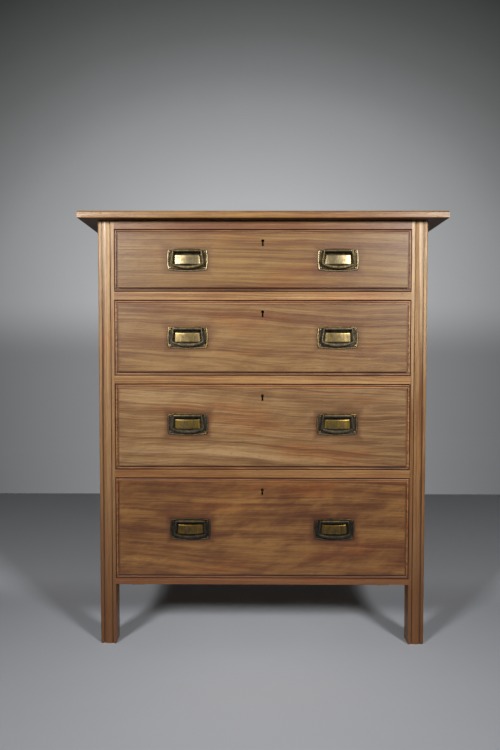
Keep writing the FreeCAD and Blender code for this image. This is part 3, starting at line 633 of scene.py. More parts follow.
@dataclass(frozen=True)
class FloorPaintAndLight:
    """Pale floor paint with a painted pool of light: brighter at the middle and behind the chest,
    and a little darker away from the chest.

    Attributes:
        shade: the paint at the middle, brightened as painted light.
        rim: the paint at the rim, where the painted light has faded.
        back: the paint behind the chest, brightened as painted light.
        behind: y where that begins, and where it is in full.
        middle: the pale place, in metres.
        reach: distance along X and Y at which the rim's paint begins.
        dull: the plain paint, to all light but what is seen directly or in a reflection.
        gloss: roughness.
    """

    shade: Colour = (223, 231, 245)
    rim: Colour = (184, 190, 202)
    back: Colour = (233, 241, 255)
    behind: Flat = (0.02, 0.3)
    middle: Flat = (0.0, -0.15)
    reach: Flat = (0.95, 1.1)
    dull: Colour = (104, 106, 110)
    gloss: float = 0.5

    def material(self) -> bpy.types.Material:
        """Build the paint's material.

        Returns:
            The material.
        """
        shader = Shader("floor_paint")
        xyz = shader.place()
        clouds = shader.noise(xyz, Layer((1.3, 1.9, 1.3), 6.0, 0.62))
        # Painted pool of light: pale at the middle, darker towards the rim, brighter behind the
        # chest.
        far = shader.sway(clouds, 0.2, shader.away(xyz[:2], self.middle, self.reach))
        colour = shader.ramp(far, [(0.15, self.shade), (1.0, self.rim)])
        colour = shader.overlay(colour, self.back, xyz[1], self.behind, 1.0)
        return shader.finish(
            Base_Color=shader.mix(shader.seen(), self.dull, colour),
            Roughness=shader.remap(clouds, 0.3, 0.7, self.gloss, self.gloss + 0.1),
            Specular_IOR_Level=0.08,
        )


@dataclass(frozen=True)
class BackdropPaintedLight:
    """Grey backdrop with a painted pool of light, from a pale middle to dark upper corners.

    It covers the wall and the strip of floor before it, and its grading widens with Y, so that
    they join. Seen directly or in a reflection it glows with its grading, as painted light, and
    with painted shade near the floor. To all other light it is a plain dull paint.

    Attributes:
        shades: share of the way to the rim, and the painted light there.
        middle: x and z of the brightest painted light, in metres, where the strip begins.
        reach: distance along X and Z to the rim there.
        centre: y and z from which the grading widens.
        edge: y where the strip begins.
        low: the painted shade near the floor.
        shadow_band: heights there where it begins, and where it is in full.
        shadow_share: its share in full.
        dull: the plain paint.
        gloss: the plain paint's roughness.
    """

    shades: tuple[tuple[float, Colour], ...] = (
        (0.0, (183, 185, 187)), (0.18, (175, 177, 179)), (0.26, (160, 162, 164)),
        (0.35, (140, 142, 144)), (0.41, (119, 121, 122)), (0.48, (97, 99, 99)),
        (0.55, (78, 80, 79)), (0.65, (50, 52, 51)), (1.0, (42, 43, 42)),
    )
    middle: Flat = (-0.02, 1.0)
    reach: Flat = (3.7, 2.85)
    centre: Flat = (-1.8157, 0.7506)
    edge: float = 1.5
    low: Colour = (48, 49, 49)
    shadow_band: Flat = (1.02, 0.7)
    shadow_share: float = 0.48
    dull: Colour = (74, 76, 78)
    gloss: float = 0.8

    def material(self) -> bpy.types.Material:
        """Build the backdrop's material.

        Returns:
            The material.
        """
        shader = Shader("backdrop_paint")
        xyz = shader.place()
        y, z = self.centre
        widened = shader.math("DIVIDE", self.edge - y, shader.math("SUBTRACT", xyz[1], y))
        beside = shader.math("MULTIPLY", xyz[0], widened)
        rise = shader.math("MULTIPLY_ADD", shader.math("SUBTRACT", xyz[2], z), widened, z)
        above = shader.math("MAXIMUM", rise, self.middle[1])
        clouds = shader.noise(xyz, Layer((0.5, 0.5, 0.5), 5.0, 0.6))
        far = shader.sway(clouds, 0.03, shader.away((beside, above), self.middle, self.reach))
        # Painted pool of light, pale in the middle and dark at the upper corners.
        graded = shader.ramp(far, self.shades)
        # Painted shade low on the backdrop, near the floor.
        graded = shader.overlay(graded, self.low, rise, self.shadow_band, self.shadow_share)
        # The painted light glows, though the backdrop is no lamp.
        glow = shader.add("ShaderNodeEmission", {0: graded, 1: 1.0}).outputs[0]
        inputs = {0: shader.seen(), 1: shader.surface.outputs[0], 2: glow}
        mixed = shader.add("ShaderNodeMixShader", inputs).outputs[0]
        shader.feed(shader.output.inputs[0], mixed)
        return shader.finish(Base_Color=paint(self.dull), Roughness=self.gloss)


class MeshSheet:
    """A mesh of stacked loops in one object, with a wear value on each point."""

    def __init__(self, start: Optional[bpy.types.Mesh] = None) -> None:
        """Start a mesh.

        Args:
            start: a mesh that it begins with, or None for an empty one.
        """
        self.shape = bmesh.new()
        if start:
            self.shape.from_mesh(start)
        self.wear = self.shape.verts.layers.float.new("wear")

    def points(self, places: Sequence[Point],
               wear: Union[float, Sequence[float]]) -> list[bmesh.types.BMVert]:
        """Add points.

        Args:
            places: the points, in metres.
            wear: one value for all, or one for each.

        Returns:
            The new points.
        """
        made = []
        for number, place in enumerate(places):
            vert = self.shape.verts.new(place)
            vert[self.wear] = wear if isinstance(wear, (int, float)) else wear[number]
            made.append(vert)
        return made

    def cap(self, loop: Sequence[bmesh.types.BMVert]) -> None:
        """Close a loop by one face."""
        self.shape.faces.new(loop)

    def skin(self, loops: Sequence[Sequence[bmesh.types.BMVert]]) -> None:
        """Join closed loops of equal length by faces.

        Args:
            loops: the loops in order.
        """
        for first, second in zip(loops, loops[1:]):
            count = len(first)
            for number in range(count):
                following = (number + 1) % count
                corners = (first[number], first[following], second[following], second[number])
                self.shape.faces.new(corners)

    def body(self, loops: Sequence[Sequence[bmesh.types.BMVert]]) -> None:
        """Join closed loops and close both ends.

        Args:
            loops: the loops in order.
        """
        self.cap(loops[0])
        self.cap(loops[-1])
        self.skin(loops)

    def piece(self, name: str, finish: bpy.types.Material,
              smooth: float = 35.0) -> bpy.types.Object:
        """Make the object.

        Args:
            name: the piece's name.
            finish: its finish.
            smooth: edges under this angle are shaded smooth, in degrees.

        Returns:
            The object, at the origin.
        """
        bmesh.ops.remove_doubles(self.shape, verts=self.shape.verts, dist=1e-6)
        bmesh.ops.dissolve_degenerate(self.shape, edges=self.shape.edges, dist=1e-7)
        bmesh.ops.recalc_face_normals(self.shape, faces=self.shape.faces)
        mesh = bpy.data.meshes.new(name)
        self.shape.to_mesh(mesh)
        self.shape.free()
        mesh.materials.append(finish)
        mesh.shade_smooth()
        mesh.set_sharp_from_angle(angle=math.radians(smooth))
        return set_out(name, mesh)


def arc(radius: float, angles: Sequence[float]) -> list[Flat]:
    """Return the points of a circle at these angles, in radians from its right."""
    return [(radius * math.cos(angle), radius * math.sin(angle)) for angle in angles]


def ring(radius: float, count: int) -> list[Flat]:
    """Return the evenly spaced points of a whole circle."""
    return arc(radius, [math.tau * number / count for number in range(count)])


def rounded(start: Sequence[float], peak: Sequence[float], end: Sequence[float],
            steps: int) -> list[Flat]:
    """Round a corner by a curve that leans towards its peak.

    Args:
        start: where the curve begins.
        peak: the sharp corner.
        end: where it ends.
        steps: number of its steps.

    Returns:
        The points between start and end.
    """
    made = []
    for step in range(1, steps):
        t = step / steps
        weights = ((1 - t) ** 2, 2 * t * (1 - t), t * t)
        corners = list(zip(weights, (start, peak, end)))
        made.append((sum(w * p[0] for w, p in corners), sum(w * p[1] for w, p in corners)))
    return made


def bowed_loop(half_wide: float, half_tall: float, bow_wide: float, bow_tall: float,
               corner: float) -> list[Flat]:
    """Draw a rectangle with bowed sides and rounded corners.

    Args:
        half_wide: half the width between its corners.
        half_tall: half the height between its corners.
        bow_wide: bulge of its ends.
        bow_tall: bulge of its long edges.
        corner: radius of its corners.

    Returns:
        The points as (u, v), anticlockwise from the lower right.
    """
    up, along, corner_steps = 6, 14, 4

    def end(part: float) -> Flat:
        """Return a point of the right end, part running from -1 to 1."""
        height = part * (half_tall - corner)
        return (half_wide + bow_wide * (1 - (height / max(half_tall, 1e-9)) ** 2), height)

    def edge(part: float) -> Flat:
        """Return a point of the upper edge, part running from 1 to -1."""
        width = part * (half_wide - corner)
        return (width, half_tall + bow_tall * (1 - (width / max(half_wide, 1e-9)) ** 2))

    first, peak, last = end(1), (half_wide, half_tall), edge(1)
    half = [end(-1 + 2 * step / up) for step in range(up + 1)]
    half += rounded(first, peak, last, corner_steps)
    half += [edge(1 - 2 * step / along) for step in range(along + 1)]
    half += rounded(*[(-u, v) for u, v in (last, peak, first)], corner_steps)
    return half + [(-u, -v) for u, v in half]


# The plate's rim from its foot to the floor inside it: inset, height off the front and wear.
RIM = (
    (0.0, 0.0, 0.5), (0.0, 1.5, 0.75), (0.3, 2.5, 0.9), (1.0, 3.2, 0.95), (1.9, 3.4, 0.9),
    (2.8, 3.2, 0.75), (3.5, 2.6, 0.5), (3.9, 2.0, 0.3), (4.5, 1.68, 0.2), (6.5, 1.6, 0.38),
)
# The pad from the floor to its middle line: inset, share of its full height and wear.
PAD = (
    (-1.4, 0.0, 0.25), (-0.2, 0.0, 0.2), (0.0, 0.35, 0.4), (0.25, 0.66, 0.6), (0.8, 0.88, 0.72),
    (1.7, 0.98, 0.78), (3.2, 1.0, 0.74), (6.0, 1.0, 0.7), (9.0, 1.0, 0.68), (12.5, 1.0, 0.66),
)
# The barrel from its end to near its middle: share of half its length, and its thickness.
BARREL = ((1.0, 0.91), (0.993, 0.97), (0.975, 1.0), (0.9, 0.985), (0.8, 1.0), (0.4, 1.0))
# The web that joins the barrel to the plate, over and under it: off the floor, and how far it
# stands out past the barrel.
WEB_OVER = ((-0.4, 1.1), (0.5, 0.25), (2.0, 0.0))
WEB_UNDER = ((2.0, 0.0), (0.5, 0.2), (-0.4, 0.8))


@dataclass
class HandlePlate:
    """The cast plate of a handle: its rounded rim, its crowned pad and its hinge barrel.

    Sizes are in millimetres, off the drawer front and about the plate's middle.

    Attributes:
        half_wide: half the width between the corners.
        half_tall: half the height between the corners.
        bow_wide: bulge of the ends.
        bow_tall: bulge of the long edges.
        corner: radius of the corners.
        corner_inside: least radius of the corners inside the rim.
        floor: thickness inside the rim.
        pad_wide: half the pad's width.
        pad_tall: half the pad's height.
        pad_corner: radius of the pad's corners.
        pad_edge: the pad's ends, off the front.
        pad_crown: the pad's rise between its ends.
        axis_off: hinge axis off the front.
        axis_rise: hinge axis above the middle.
        barrel_round: the barrel's radius.
        barrel_half: half the barrel's length.
        socket: radius of the pins' sockets.
        socket_deep: depth of the sockets.
        rubbed: how bright the rim and the barrel are worn, 0 to 1.
    """

    half_wide: float = 48.8
    half_tall: float = 25.5
    bow_wide: float = 2.2
    bow_tall: float = 3.0
    corner: float = 3.2
    corner_inside: float = 0.8
    floor: float = 1.6
    pad_wide: float = 32.5
    pad_tall: float = 12.5
    pad_corner: float = 1.6
    pad_edge: float = 3.2
    pad_crown: float = 3.6
    axis_off: float = 9.0
    axis_rise: float = 21.5
    barrel_round: float = 4.5
    barrel_half: float = 32.5
    socket: float = 2.3
    socket_deep: float = 8.0
    rubbed: float = 1.0

    def build(self, sheet: MeshSheet, middle: Vector) -> None:
        """Add one plate to a mesh, about its middle on the drawer front, in metres."""
        self._plate(sheet, middle)
        self._barrel(sheet, middle)

    def _at(self, middle: Vector, u: float, v: float, height: float) -> Point:
        """Return a point at u, v and a height off the front, in metres."""
        return (middle.x + u * MM, middle.y - height * MM, middle.z + v * MM)

    def _plate(self, sheet: MeshSheet, middle: Vector) -> None:
        """Add the rim, the floor and the pad.

        Args:
            sheet: the mesh.
            middle: the plate's middle on the drawer front.
        """
        loops = []
        for inset, height, wear in RIM:
            corner = max(self.corner - inset, self.corner_inside)
            outline = bowed_loop(self.half_wide - inset, self.half_tall - inset, self.bow_wide,
                                 self.bow_tall, corner)
            places = [self._at(middle, u, v, height) for u, v in outline]
            loops.append(sheet.points(places, wear * self.rubbed))
        sheet.cap(loops[0])
        for inset, share, wear in PAD:
            half_tall = self.pad_tall - inset
            corner = min(self.pad_corner, max(half_tall, 0.0))
            places = []
            for u, v in bowed_loop(self.pad_wide - inset, half_tall, 0.0, 0.0, corner):
                full = self.pad_edge + self.pad_crown * max(0.0, 1 - (u / self.pad_wide) ** 2)
                places.append(self._at(middle, u, v, self.floor + share * (full - self.floor)))
            loops.append(sheet.points(places, wear))
        sheet.skin(loops)

    def _outline(self) -> list[Flat]:
        """Draw the barrel and its web from the side.

        Returns:
            The points as the distance off the front and the rise above the hinge axis.
        """
        radius, neck, count = self.barrel_round, self.axis_off - 2.0, 18
        turns = [math.radians(90 - 180 * step / count) for step in range(count + 1)]
        outline = [(self.floor + off, radius + past) for off, past in WEB_OVER]
        outline += [(neck, radius)]
        outline += [(self.axis_off + off, rise) for off, rise in arc(radius, turns)]
        outline += [(neck, -radius)]
        return outline + [(self.floor + off, -radius - past) for off, past in WEB_UNDER]

    def _barrel(self, sheet: MeshSheet, middle: Vector) -> None:
        """Add the hinge barrel with its web and its two sockets.

        Args:
            sheet: the mesh.
            middle: the plate's middle on the drawer front.
        """
        outline = self._outline()
        angles = [math.atan2(rise, off - self.axis_off) for off, rise in outline]
        hole = [(self.axis_off + off, rise) for off, rise in arc(self.socket, angles)]
        high, low = 0.3 * self.barrel_round, -0.4 * self.barrel_round
        wears = [0.9 if rise > high else (0.45 if rise > low else 0.1) for _, rise in outline]
        wears = [self.rubbed * wear for wear in wears]
        loops = []
        for side in (-1, 1):
            end = []
            for deep, wear in ((self.socket_deep, 0.0), (0.0, 0.3)):
                u = side * (self.barrel_half - deep)
                places = [self._at(middle, u, self.axis_rise + rise, off) for off, rise in hole]
                end.append(sheet.points(places, wear))
            sheet.cap(end[0])
            for share, size in BARREL:
                u, places = side * share * self.barrel_half, []
                for off, rise in outline:
                    grown = size if off > self.floor + 2.5 else 1.0
                    height = self.axis_off + (off - self.axis_off) * grown
                    places.append(self._at(middle, u, self.axis_rise + rise * size, height))
                end.append(sheet.points(places, wears))
            loops += end if side < 0 else end[::-1]
        sheet.skin(loops)


class GeometryTree(NodeSheet):
    """A Geometry Nodes tree with named inputs."""

    def __init__(self, name: str, inputs: Sequence[tuple[str, str, object]]) -> None:
        """Start a tree.

        Args:
            name: the tree's name.
            inputs: name, socket type and value of each input after the geometry.
        """
        self.group = bpy.data.node_groups.new(name, "GeometryNodeTree")
        super().__init__(self.group)
        sockets = self.group.interface
        sockets.new_socket("Geometry", in_out="INPUT", socket_type="NodeSocketGeometry")
        self.values = {}
        for label, kind, value in inputs:
            socket = sockets.new_socket(label, in_out="INPUT", socket_type=kind)
            self.values[socket.identifier] = value
        sockets.new_socket("Geometry", in_out="OUTPUT", socket_type="NodeSocketGeometry")
        self.given = self.add("NodeGroupInput").outputs

    def end(self, geometry: Socket, finish: bpy.types.Material) -> None:
        """End the tree with real geometry and its finish.

        Args:
            geometry: what the tree has made.
            finish: the finish.
        """
        real = self.add("GeometryNodeRealizeInstances", {0: geometry}).outputs[0]
        dressed = self.add("GeometryNodeSetMaterial", {"Geometry": real, "Material": finish})
        self.add("NodeGroupOutput", {0: dressed.outputs[0]})

    def run(self, host: bpy.types.Object, name: str) -> bpy.types.Mesh:
        """Run the tree on an object and take its result as a plain mesh.

        Args:
            host: the object that carries the path or the points. It is removed.
            name: the new mesh's name.

        Returns:
            The mesh.
        """
        modifier = host.modifiers.new(self.group.name, "NODES")
        modifier.node_group = self.group
        for identifier, value in self.values.items():
            modifier[identifier] = value
        bpy.context.view_layer.update()
        ready = host.evaluated_get(bpy.context.evaluated_depsgraph_get())
        mesh = bpy.data.meshes.new_from_object(ready)
        mesh.name = name
        host.modifiers.remove(modifier)
        bpy.data.objects.remove(host)
        return mesh


@dataclass
class Bail:
    """The swinging bail: two splayed arms with eyes and pins, and a grip that swells.

    Sizes are in millimetres, from the hinge axis and the middle of the handle.

    Attributes:
        arm_top: middle of the arm at the hinge.
        arm_foot: middle of the arm at its foot.
        foot_drop: hinge axis down to the middle of the corner.
        grip_drop: hinge axis down to the middle of the grip.
        corner: radius of the corners, along the middle of the bar.
        arm_wide: width of the arms.
        grip_tall: height of the grip's middle.
        swell_end: where the swell ends, as a share of the bar's length from its middle.
        thick: front to back.
        edge: radius of the bar's long edges.
        eye: radius of the eyes round the hinge axis.
        pin: radius of the pins.
        pin_reach: the pins' inner ends.
        rubbed: how bright its front is worn, 0 to 1.
        rest_wear: share of that which its sides and back have.
        front_wear: what the share gains per metre towards the front.
    """

    arm_top: float = 34.8
    arm_foot: float = 39.9
    foot_drop: float = 32.6
    grip_drop: float = 40.5
    corner: float = 4.6
    arm_wide: float = 4.0
    grip_tall: float = 7.8
    swell_end: float = 0.285
    thick: float = 5.2
    edge: float = 1.45
    eye: float = 2.6
    pin: float = 2.05
    pin_reach: float = 25.5
    rubbed: float = 1.0
    rest_wear: float = 0.34
    front_wear: float = 60.0

    def tree(self, finish: bpy.types.Material) -> GeometryTree:
        """Build the tree that sweeps the bar along its path.

        Args:
            finish: the brass.

        Returns:
            The tree.
        """
        tree = GeometryTree("bail_bar", [
            ("Arm width", "NodeSocketFloat", self.arm_wide * MM),
            ("Grip height", "NodeSocketFloat", self.grip_tall * MM),
            ("Thickness", "NodeSocketFloat", self.thick * MM),
            ("Edge radius", "NodeSocketFloat", self.edge * MM),
            ("Steps", "NodeSocketInt", 96),
        ])
        path, arm, grip, thick, edge, steps = [tree.given[number] for number in range(6)]
        path = tree.add("GeometryNodeResampleCurve", {"Curve": path, "Count": steps}).outputs[0]
        part = tree.add("GeometryNodeSplineParameter").outputs["Factor"]
        off = tree.math("DIVIDE", tree.gap(part, 0.5), self.swell_end)
        bump = tree.math("SUBTRACT", 1.0, tree.math("MULTIPLY", off, off))
        gain = tree.math("SUBTRACT", tree.math("DIVIDE", grip, arm), 1.0)
        swell = tree.math("MULTIPLY_ADD", tree.math("MAXIMUM", bump, 0.0), gain, 1.0)
        keep = tree.add("GeometryNodeCaptureAttribute", domain="POINT")
        keep.capture_items.new("FLOAT", "Swell")
        tree.feed(keep.inputs["Geometry"], path)
        tree.feed(keep.inputs["Swell"], swell)
        path, swell = keep.outputs["Geometry"], keep.outputs["Swell"]
        inputs = {"Curve": path, "Normal": (0.0, 1.0, 0.0)}
        path = tree.add("GeometryNodeSetCurveNormal", inputs, mode="FREE").outputs[0]
        bar = tree.add("GeometryNodeCurvePrimitiveQuadrilateral", {"Width": thick, "Height": arm})
        inputs = {"Curve": bar.outputs[0], "Radius": edge, "Count": 4}
        bar = tree.add("GeometryNodeFilletCurve", inputs, mode="POLY")
        inputs = {"Curve": path, "Profile Curve": bar.outputs[0], "Fill Caps": True, "Scale": swell}
        swept = tree.add("GeometryNodeCurveToMesh", inputs).outputs[0]
        place = tree.add("GeometryNodeInputPosition").outputs[0]
        x, y, z = tree.add("ShaderNodeSeparateXYZ", {0: place}).outputs
        inputs = {"Geometry": swept, "Position": tree.join(x, tree.math("DIVIDE", y, swell), z)}
        tree.end(tree.add("GeometryNodeSetPosition", inputs).outputs[0], finish)
        return tree

    def path(self) -> list[Flat]:
        """Draw the middle line of the bar.

        Returns:
            Points as (x, z) from the left eye to the right one.
        """
        arm_steps, corner_steps, grip_steps = 6, 6, 12

        def grip(x: float) -> Vector:
            """Return the point of the grip at x."""
            rise = self.grip_drop - self.foot_drop
            return Vector((x, -self.foot_drop - rise * (1 - (x / self.arm_foot) ** 2)))

        top, foot = Vector((self.arm_top, 0.0)), Vector((self.arm_foot, -self.foot_drop))
        inward = grip(self.arm_foot - 4 * self.corner)
        start = foot + (top - foot).normalized() * self.corner
        reach = foot + (inward - foot).normalized() * self.corner
        half = [top + (start - top) * step / arm_steps for step in range(arm_steps + 1)]
        half += rounded(start, foot, reach, corner_steps)
        half += [grip(reach.x * (1 - step / grip_steps)) for step in range(grip_steps)]
        left = [(-x, z) for x, z in half]
        return left + [(0.0, -self.grip_drop)] + [(x, z) for x, z in reversed(half)]

    def build(self, name: str, axis: Vector, finish: bpy.types.Material) -> bpy.types.Object:
        """Build one bail.

        Args:
            name: the piece's name.
            axis: the middle of its hinge axis, in metres.
            finish: the brass.

        Returns:
            The piece.
        """
        line = bpy.data.curves.new(name + "_path", "CURVE")
        line.dimensions = "3D"
        spots = self.path()
        spline = line.splines.new("POLY")
        spline.points.add(len(spots) - 1)
        for spot, (x, z) in zip(spline.points, spots):
            spot.co = (x * MM, 0.0, z * MM, 1.0)
        mesh = self.tree(finish).run(set_out(name + "_path", line), name + "_bar")
        sheet = MeshSheet(mesh)
        bpy.data.meshes.remove(mesh)
        for vert in sheet.shape.verts:
            wear = self.rest_wear + self.front_wear * max(0.0, -vert.co.y)
            vert[sheet.wear] = self.rubbed * wear
            vert.co += axis
        inner = self.arm_top - self.arm_wide / 2
        eye = [(inner, self.eye - 0.5), (inner + 0.4, self.eye),
               (inner + 3.4, self.eye), (inner + 3.8, self.eye - 0.5)]
        pin = [(self.pin_reach, self.pin - 0.4), (self.pin_reach + 0.4, self.pin),
               (inner + 1.0, self.pin)]
        for side in (-1, 1):
            self._turned(sheet, axis, side, eye, wear=0.6)
            self._turned(sheet, axis, side, pin, wear=0.3)
        return sheet.piece(name, finish, smooth=40.0)

    def _turned(self, sheet: MeshSheet, axis: Vector, side: int, steps: Sequence[Flat],
                wear: float) -> None:
        """Add a round body about the hinge axis.

        Args:
            sheet: the mesh.
            axis: the middle of the hinge axis.
            side: -1 for the left arm and 1 for the right one.
            steps: place along the axis and radius of each ring.
            wear: its wear.
        """
        loops = []
        for place, radius in steps:
            x = axis.x + side * place * MM
            places = [(x, axis.y + v * MM, axis.z + w * MM) for v, w in ring(radius, count=24)]
            loops.append(sheet.points(places, wear))
        sheet.body(loops)


# Each half of a screw's head from its foot to its crown: share of its width, share of its height
# and wear.
SCREW_HEAD = ((1.0, 0.0, 0.1), (1.0, 0.45, 0.35), (0.8, 0.85, 0.6), (0.45, 1.0, 0.75))


@dataclass
class HandleScrews:
    """The slotted round-head screws at the plates' corners, one mesh for each drawer.

    Attributes:
        across: the plate's middle to a screw, in millimetres.
        rise: the plate's middle line to a screw.
        head: radius of the head.
        dome: height of the head above the plate's floor.
        slot: width of the slot.
        seed: seed of the slots' turns.
    """

    across: float = 43.0
    rise: float = 19.6
    head: float = 2.5
    dome: float = 1.25
    slot: float = 0.7
    seed: int = 7

    def _loop(self, sheet: MeshSheet, outline: Sequence[Flat], share: float,
              wear: float) -> list[bmesh.types.BMVert]:
        """Add one loop of the head, at a share of the dome's height."""
        return sheet.points([(u * MM, -share * self.dome * MM, v * MM) for u, v in outline], wear)

    def head_object(self) -> bpy.types.Object:
        """Build the head that the tree repeats.

        Returns:
            The head, looking along -Y.
        """
        sheet = MeshSheet()
        half, count = self.slot / 2, 7
        reach = math.acos(half / self.head)
        turns = [-reach + 2 * reach * number / count for number in range(count + 1)]
        edge = [(u, v) for v, u in arc(self.head, turns)]
        for side in (-1, 1):
            loops = []
            for width, height, wear in SCREW_HEAD:
                outline = [(u * width, side * (half + (v - half) * width)) for u, v in edge]
                loops.append(self._loop(sheet, outline, height, wear))
            sheet.body(loops)
        floor = ring(self.head * 0.98, count=12)
        sheet.body([self._loop(sheet, floor, height, wear=0.0) for height in (0.0, 0.35)])
        return sheet.piece("screw_head", bpy.data.materials.new("screw_blank"), smooth=30.0)

    def build(self, name: str, middles: Sequence[Vector], floor: float,
              finish: bpy.types.Material) -> bpy.types.Object:
        """Build the screws of one drawer.

        Args:
            name: the piece's name.
            middles: the middles of its plates, on the drawer front.
            floor: the plates' thickness inside their rims, in metres.
            finish: the brass.

        Returns:
            The piece.
        """
        spots = []
        for middle in middles:
            for side in (-1, 1):
                for up in (-1, 1):
                    off = Vector((side * self.across * MM, -floor, up * self.rise * MM))
                    spots.append(middle + off)
        points = bpy.data.meshes.new(name + "_points")
        points.from_pydata(spots, [], [])
        host = set_out(name + "_points", points)
        head = self.head_object()
        tree = GeometryTree("corner_screws", [
            ("Head", "NodeSocketObject", head),
            ("Seed", "NodeSocketInt", self.seed),
            ("Most turn", "NodeSocketFloat", math.pi),
        ])
        base, shape, seed, most = [tree.given[number] for number in range(4)]
        base = tree.add("GeometryNodeMeshToPoints", {"Mesh": base}).outputs[0]
        shape = tree.add("GeometryNodeObjectInfo", {"Object": shape, "As Instance": True})
        inputs = {2: 0.0, 3: most, "Seed": seed}
        turn = tree.add("FunctionNodeRandomValue", inputs, data_type="FLOAT").outputs[1]
        inputs = {"Points": base, "Instance": shape.outputs["Geometry"],
                  "Rotation": tree.join(0.0, turn, 0.0)}
        tree.end(tree.add("GeometryNodeInstanceOnPoints", inputs).outputs[0], finish)
        mesh = tree.run(host, name)
        bpy.data.objects.remove(head)
        mesh.materials.clear()
        mesh.materials.append(finish)
        return set_out(name, mesh)


def dress(node: str, finish: bpy.types.Material) -> None:
    """Give a CAD node its finish.

    Args:
        node: the node's name.
        finish: the finish.
    """
    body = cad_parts[node]
    if not body.material_slots:
        body.data.materials.append(finish)
    for slot in body.material_slots:
        slot.material = finish
    LOG.info("dressed %s with %s", node, finish.name)


@dataclass
class Drawer:
    """One drawer: its figured front, mitred moulding, box, lock and two handles.

    Attributes:
        word: the drawer's number in its nodes' names.
        wood: the front's finish.
        border: the moulding's finish.
        brass: the handles' finish.
        plate: the handle plate's shape.
        bail: the bail's shape.
        screws: the screws' shape.
    """

    word: str
    wood: WoodFinish
    border: WoodFinish
    brass: BrassFinish
    plate: HandlePlate
    bail: Bail
    screws: HandleScrews = field(default_factory=HandleScrews)

    def build(self, box: bpy.types.Material, lock: bpy.types.Material,
              bolt: bpy.types.Material) -> None:
        """Build the drawer's handles and dress its nodes.

        Args:
            box: finish of the sides, back and bottom.
            lock: finish of the lock case.
            bolt: finish of the bolt.
        """
        name = "drawer_" + self.word
        dress(name + "_front", self.wood.material())
        dress(name + "_moulding", self.border.material())
        for part in ("_sides", "_back", "_bottom"):
            dress(name + part, box)
        dress(name + "_lock_case", lock)
        dress(name + "_lock_bolt", bolt)
        self._handles(name)

    def _handles(self, name: str) -> None:
        """Build the two handles.

        Args:
            name: the drawer's name.
        """
        brass = self.brass.material()
        low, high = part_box(name + "_handle_plates")
        off = high.x - (self.plate.half_wide + self.plate.bow_wide) * MM
        middles = {side: Vector((side.value * off, high.y, (low.z + high.z) / 2)) for side in Side}
        sheet = MeshSheet()
        for middle in middles.values():
            self.plate.build(sheet, middle)
        plates = sheet.piece(name + "_plates_cast", brass)
        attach(plates, name)
        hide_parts(name + "_handle_plates")
        LOG.info("built %s", plates.name)
        for side, middle in middles.items():
            axis = middle + Vector((0.0, -self.plate.axis_off * MM, self.plate.axis_rise * MM))
            word = side.name.lower()
            bail = self.bail.build(name + "_bail_bar_" + word, axis, brass)
            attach(bail, name + "_bail_" + word + "_swing")
            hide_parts(name + "_bail_" + word)
            LOG.info("built %s", bail.name)
        floor = self.plate.floor * MM
        screws = self.screws.build(name + "_screws", list(middles.values()), floor, brass)
        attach(screws, name)
        LOG.info("built %s", screws.name)


@dataclass
class Case:
    """The case: top board, posts, rails, panels and the strips inside.

    Attributes:
        top: the top board's finish.
        posts: the posts' finish.
        rails: the front rails' finish.
        panels: the side panels' finish.
        side_rails: finish of the rails that run front to back.
        inside: finish of the strips inside.
        back: finish of the back panel and its rails.
    """

    top: WoodFinish
    posts: WoodFinish
    rails: WoodFinish
    panels: WoodFinish
    side_rails: WoodFinish
    inside: WoodFinish
    back: WoodFinish

    def build(self) -> None:
        """Dress the case's nodes."""
        nodes = {
            self.top: ("top_board",),
            self.posts: ("post_front_left", "post_front_right",
                         "post_back_left", "post_back_right"),
            self.rails: ("front_top_rail", "drawer_rail_one", "drawer_rail_two",
                         "drawer_rail_three", "front_bottom_rail"),
            self.panels: ("side_panel_left", "side_panel_right"),
            self.side_rails: ("side_rails_left", "side_rails_right"),
            self.inside: ("drawer_runners", "drawer_kickers", "drawer_guides", "drawer_stops"),
            self.back: ("back_panel", "back_rails"),
        }
        for finish, names in nodes.items():
            made = finish.material()
            for node in names:
                dress(node, made)


@dataclass(frozen=True)
class SoftLight:
    """A pair of equal soft lamps, one each side, which show only by what they light.

    Attributes:
        name: what the lamps' names begin with.
        off: the right lamp's place. The left one mirrors it.
        aim: the point that both look at.
        size: their width and height.
        watts: power of each.
        beam: their spread, in degrees.
        shade: the light's red, green and blue, 0 to 1.
    """

    name: str
    off: Point
    aim: Point
    size: Flat
    watts: float
    beam: float
    shade: Colour = (1.0, 0.965, 0.90)

    def build(self, side: Side) -> None:
        """Build one lamp of the pair.

        Args:
            side: the side that it stands on.
        """
        lamp = bpy.data.lights.new(self.name + "_" + side.name.lower(), "AREA")
        lamp.shape = "RECTANGLE"
        lamp.size, lamp.size_y = self.size
        lamp.energy = self.watts
        lamp.spread = math.radians(self.beam)
        lamp.color = self.shade
        place = Vector((side.value * self.off[0], self.off[1], self.off[2]))
        turn = (Vector(self.aim) - place).to_track_quat("-Z", "Y")
        holder = set_out(lamp.name, lamp)
        holder.matrix_world = Matrix.Translation(place) @ turn.to_matrix().to_4x4()
        holder.visible_camera = False


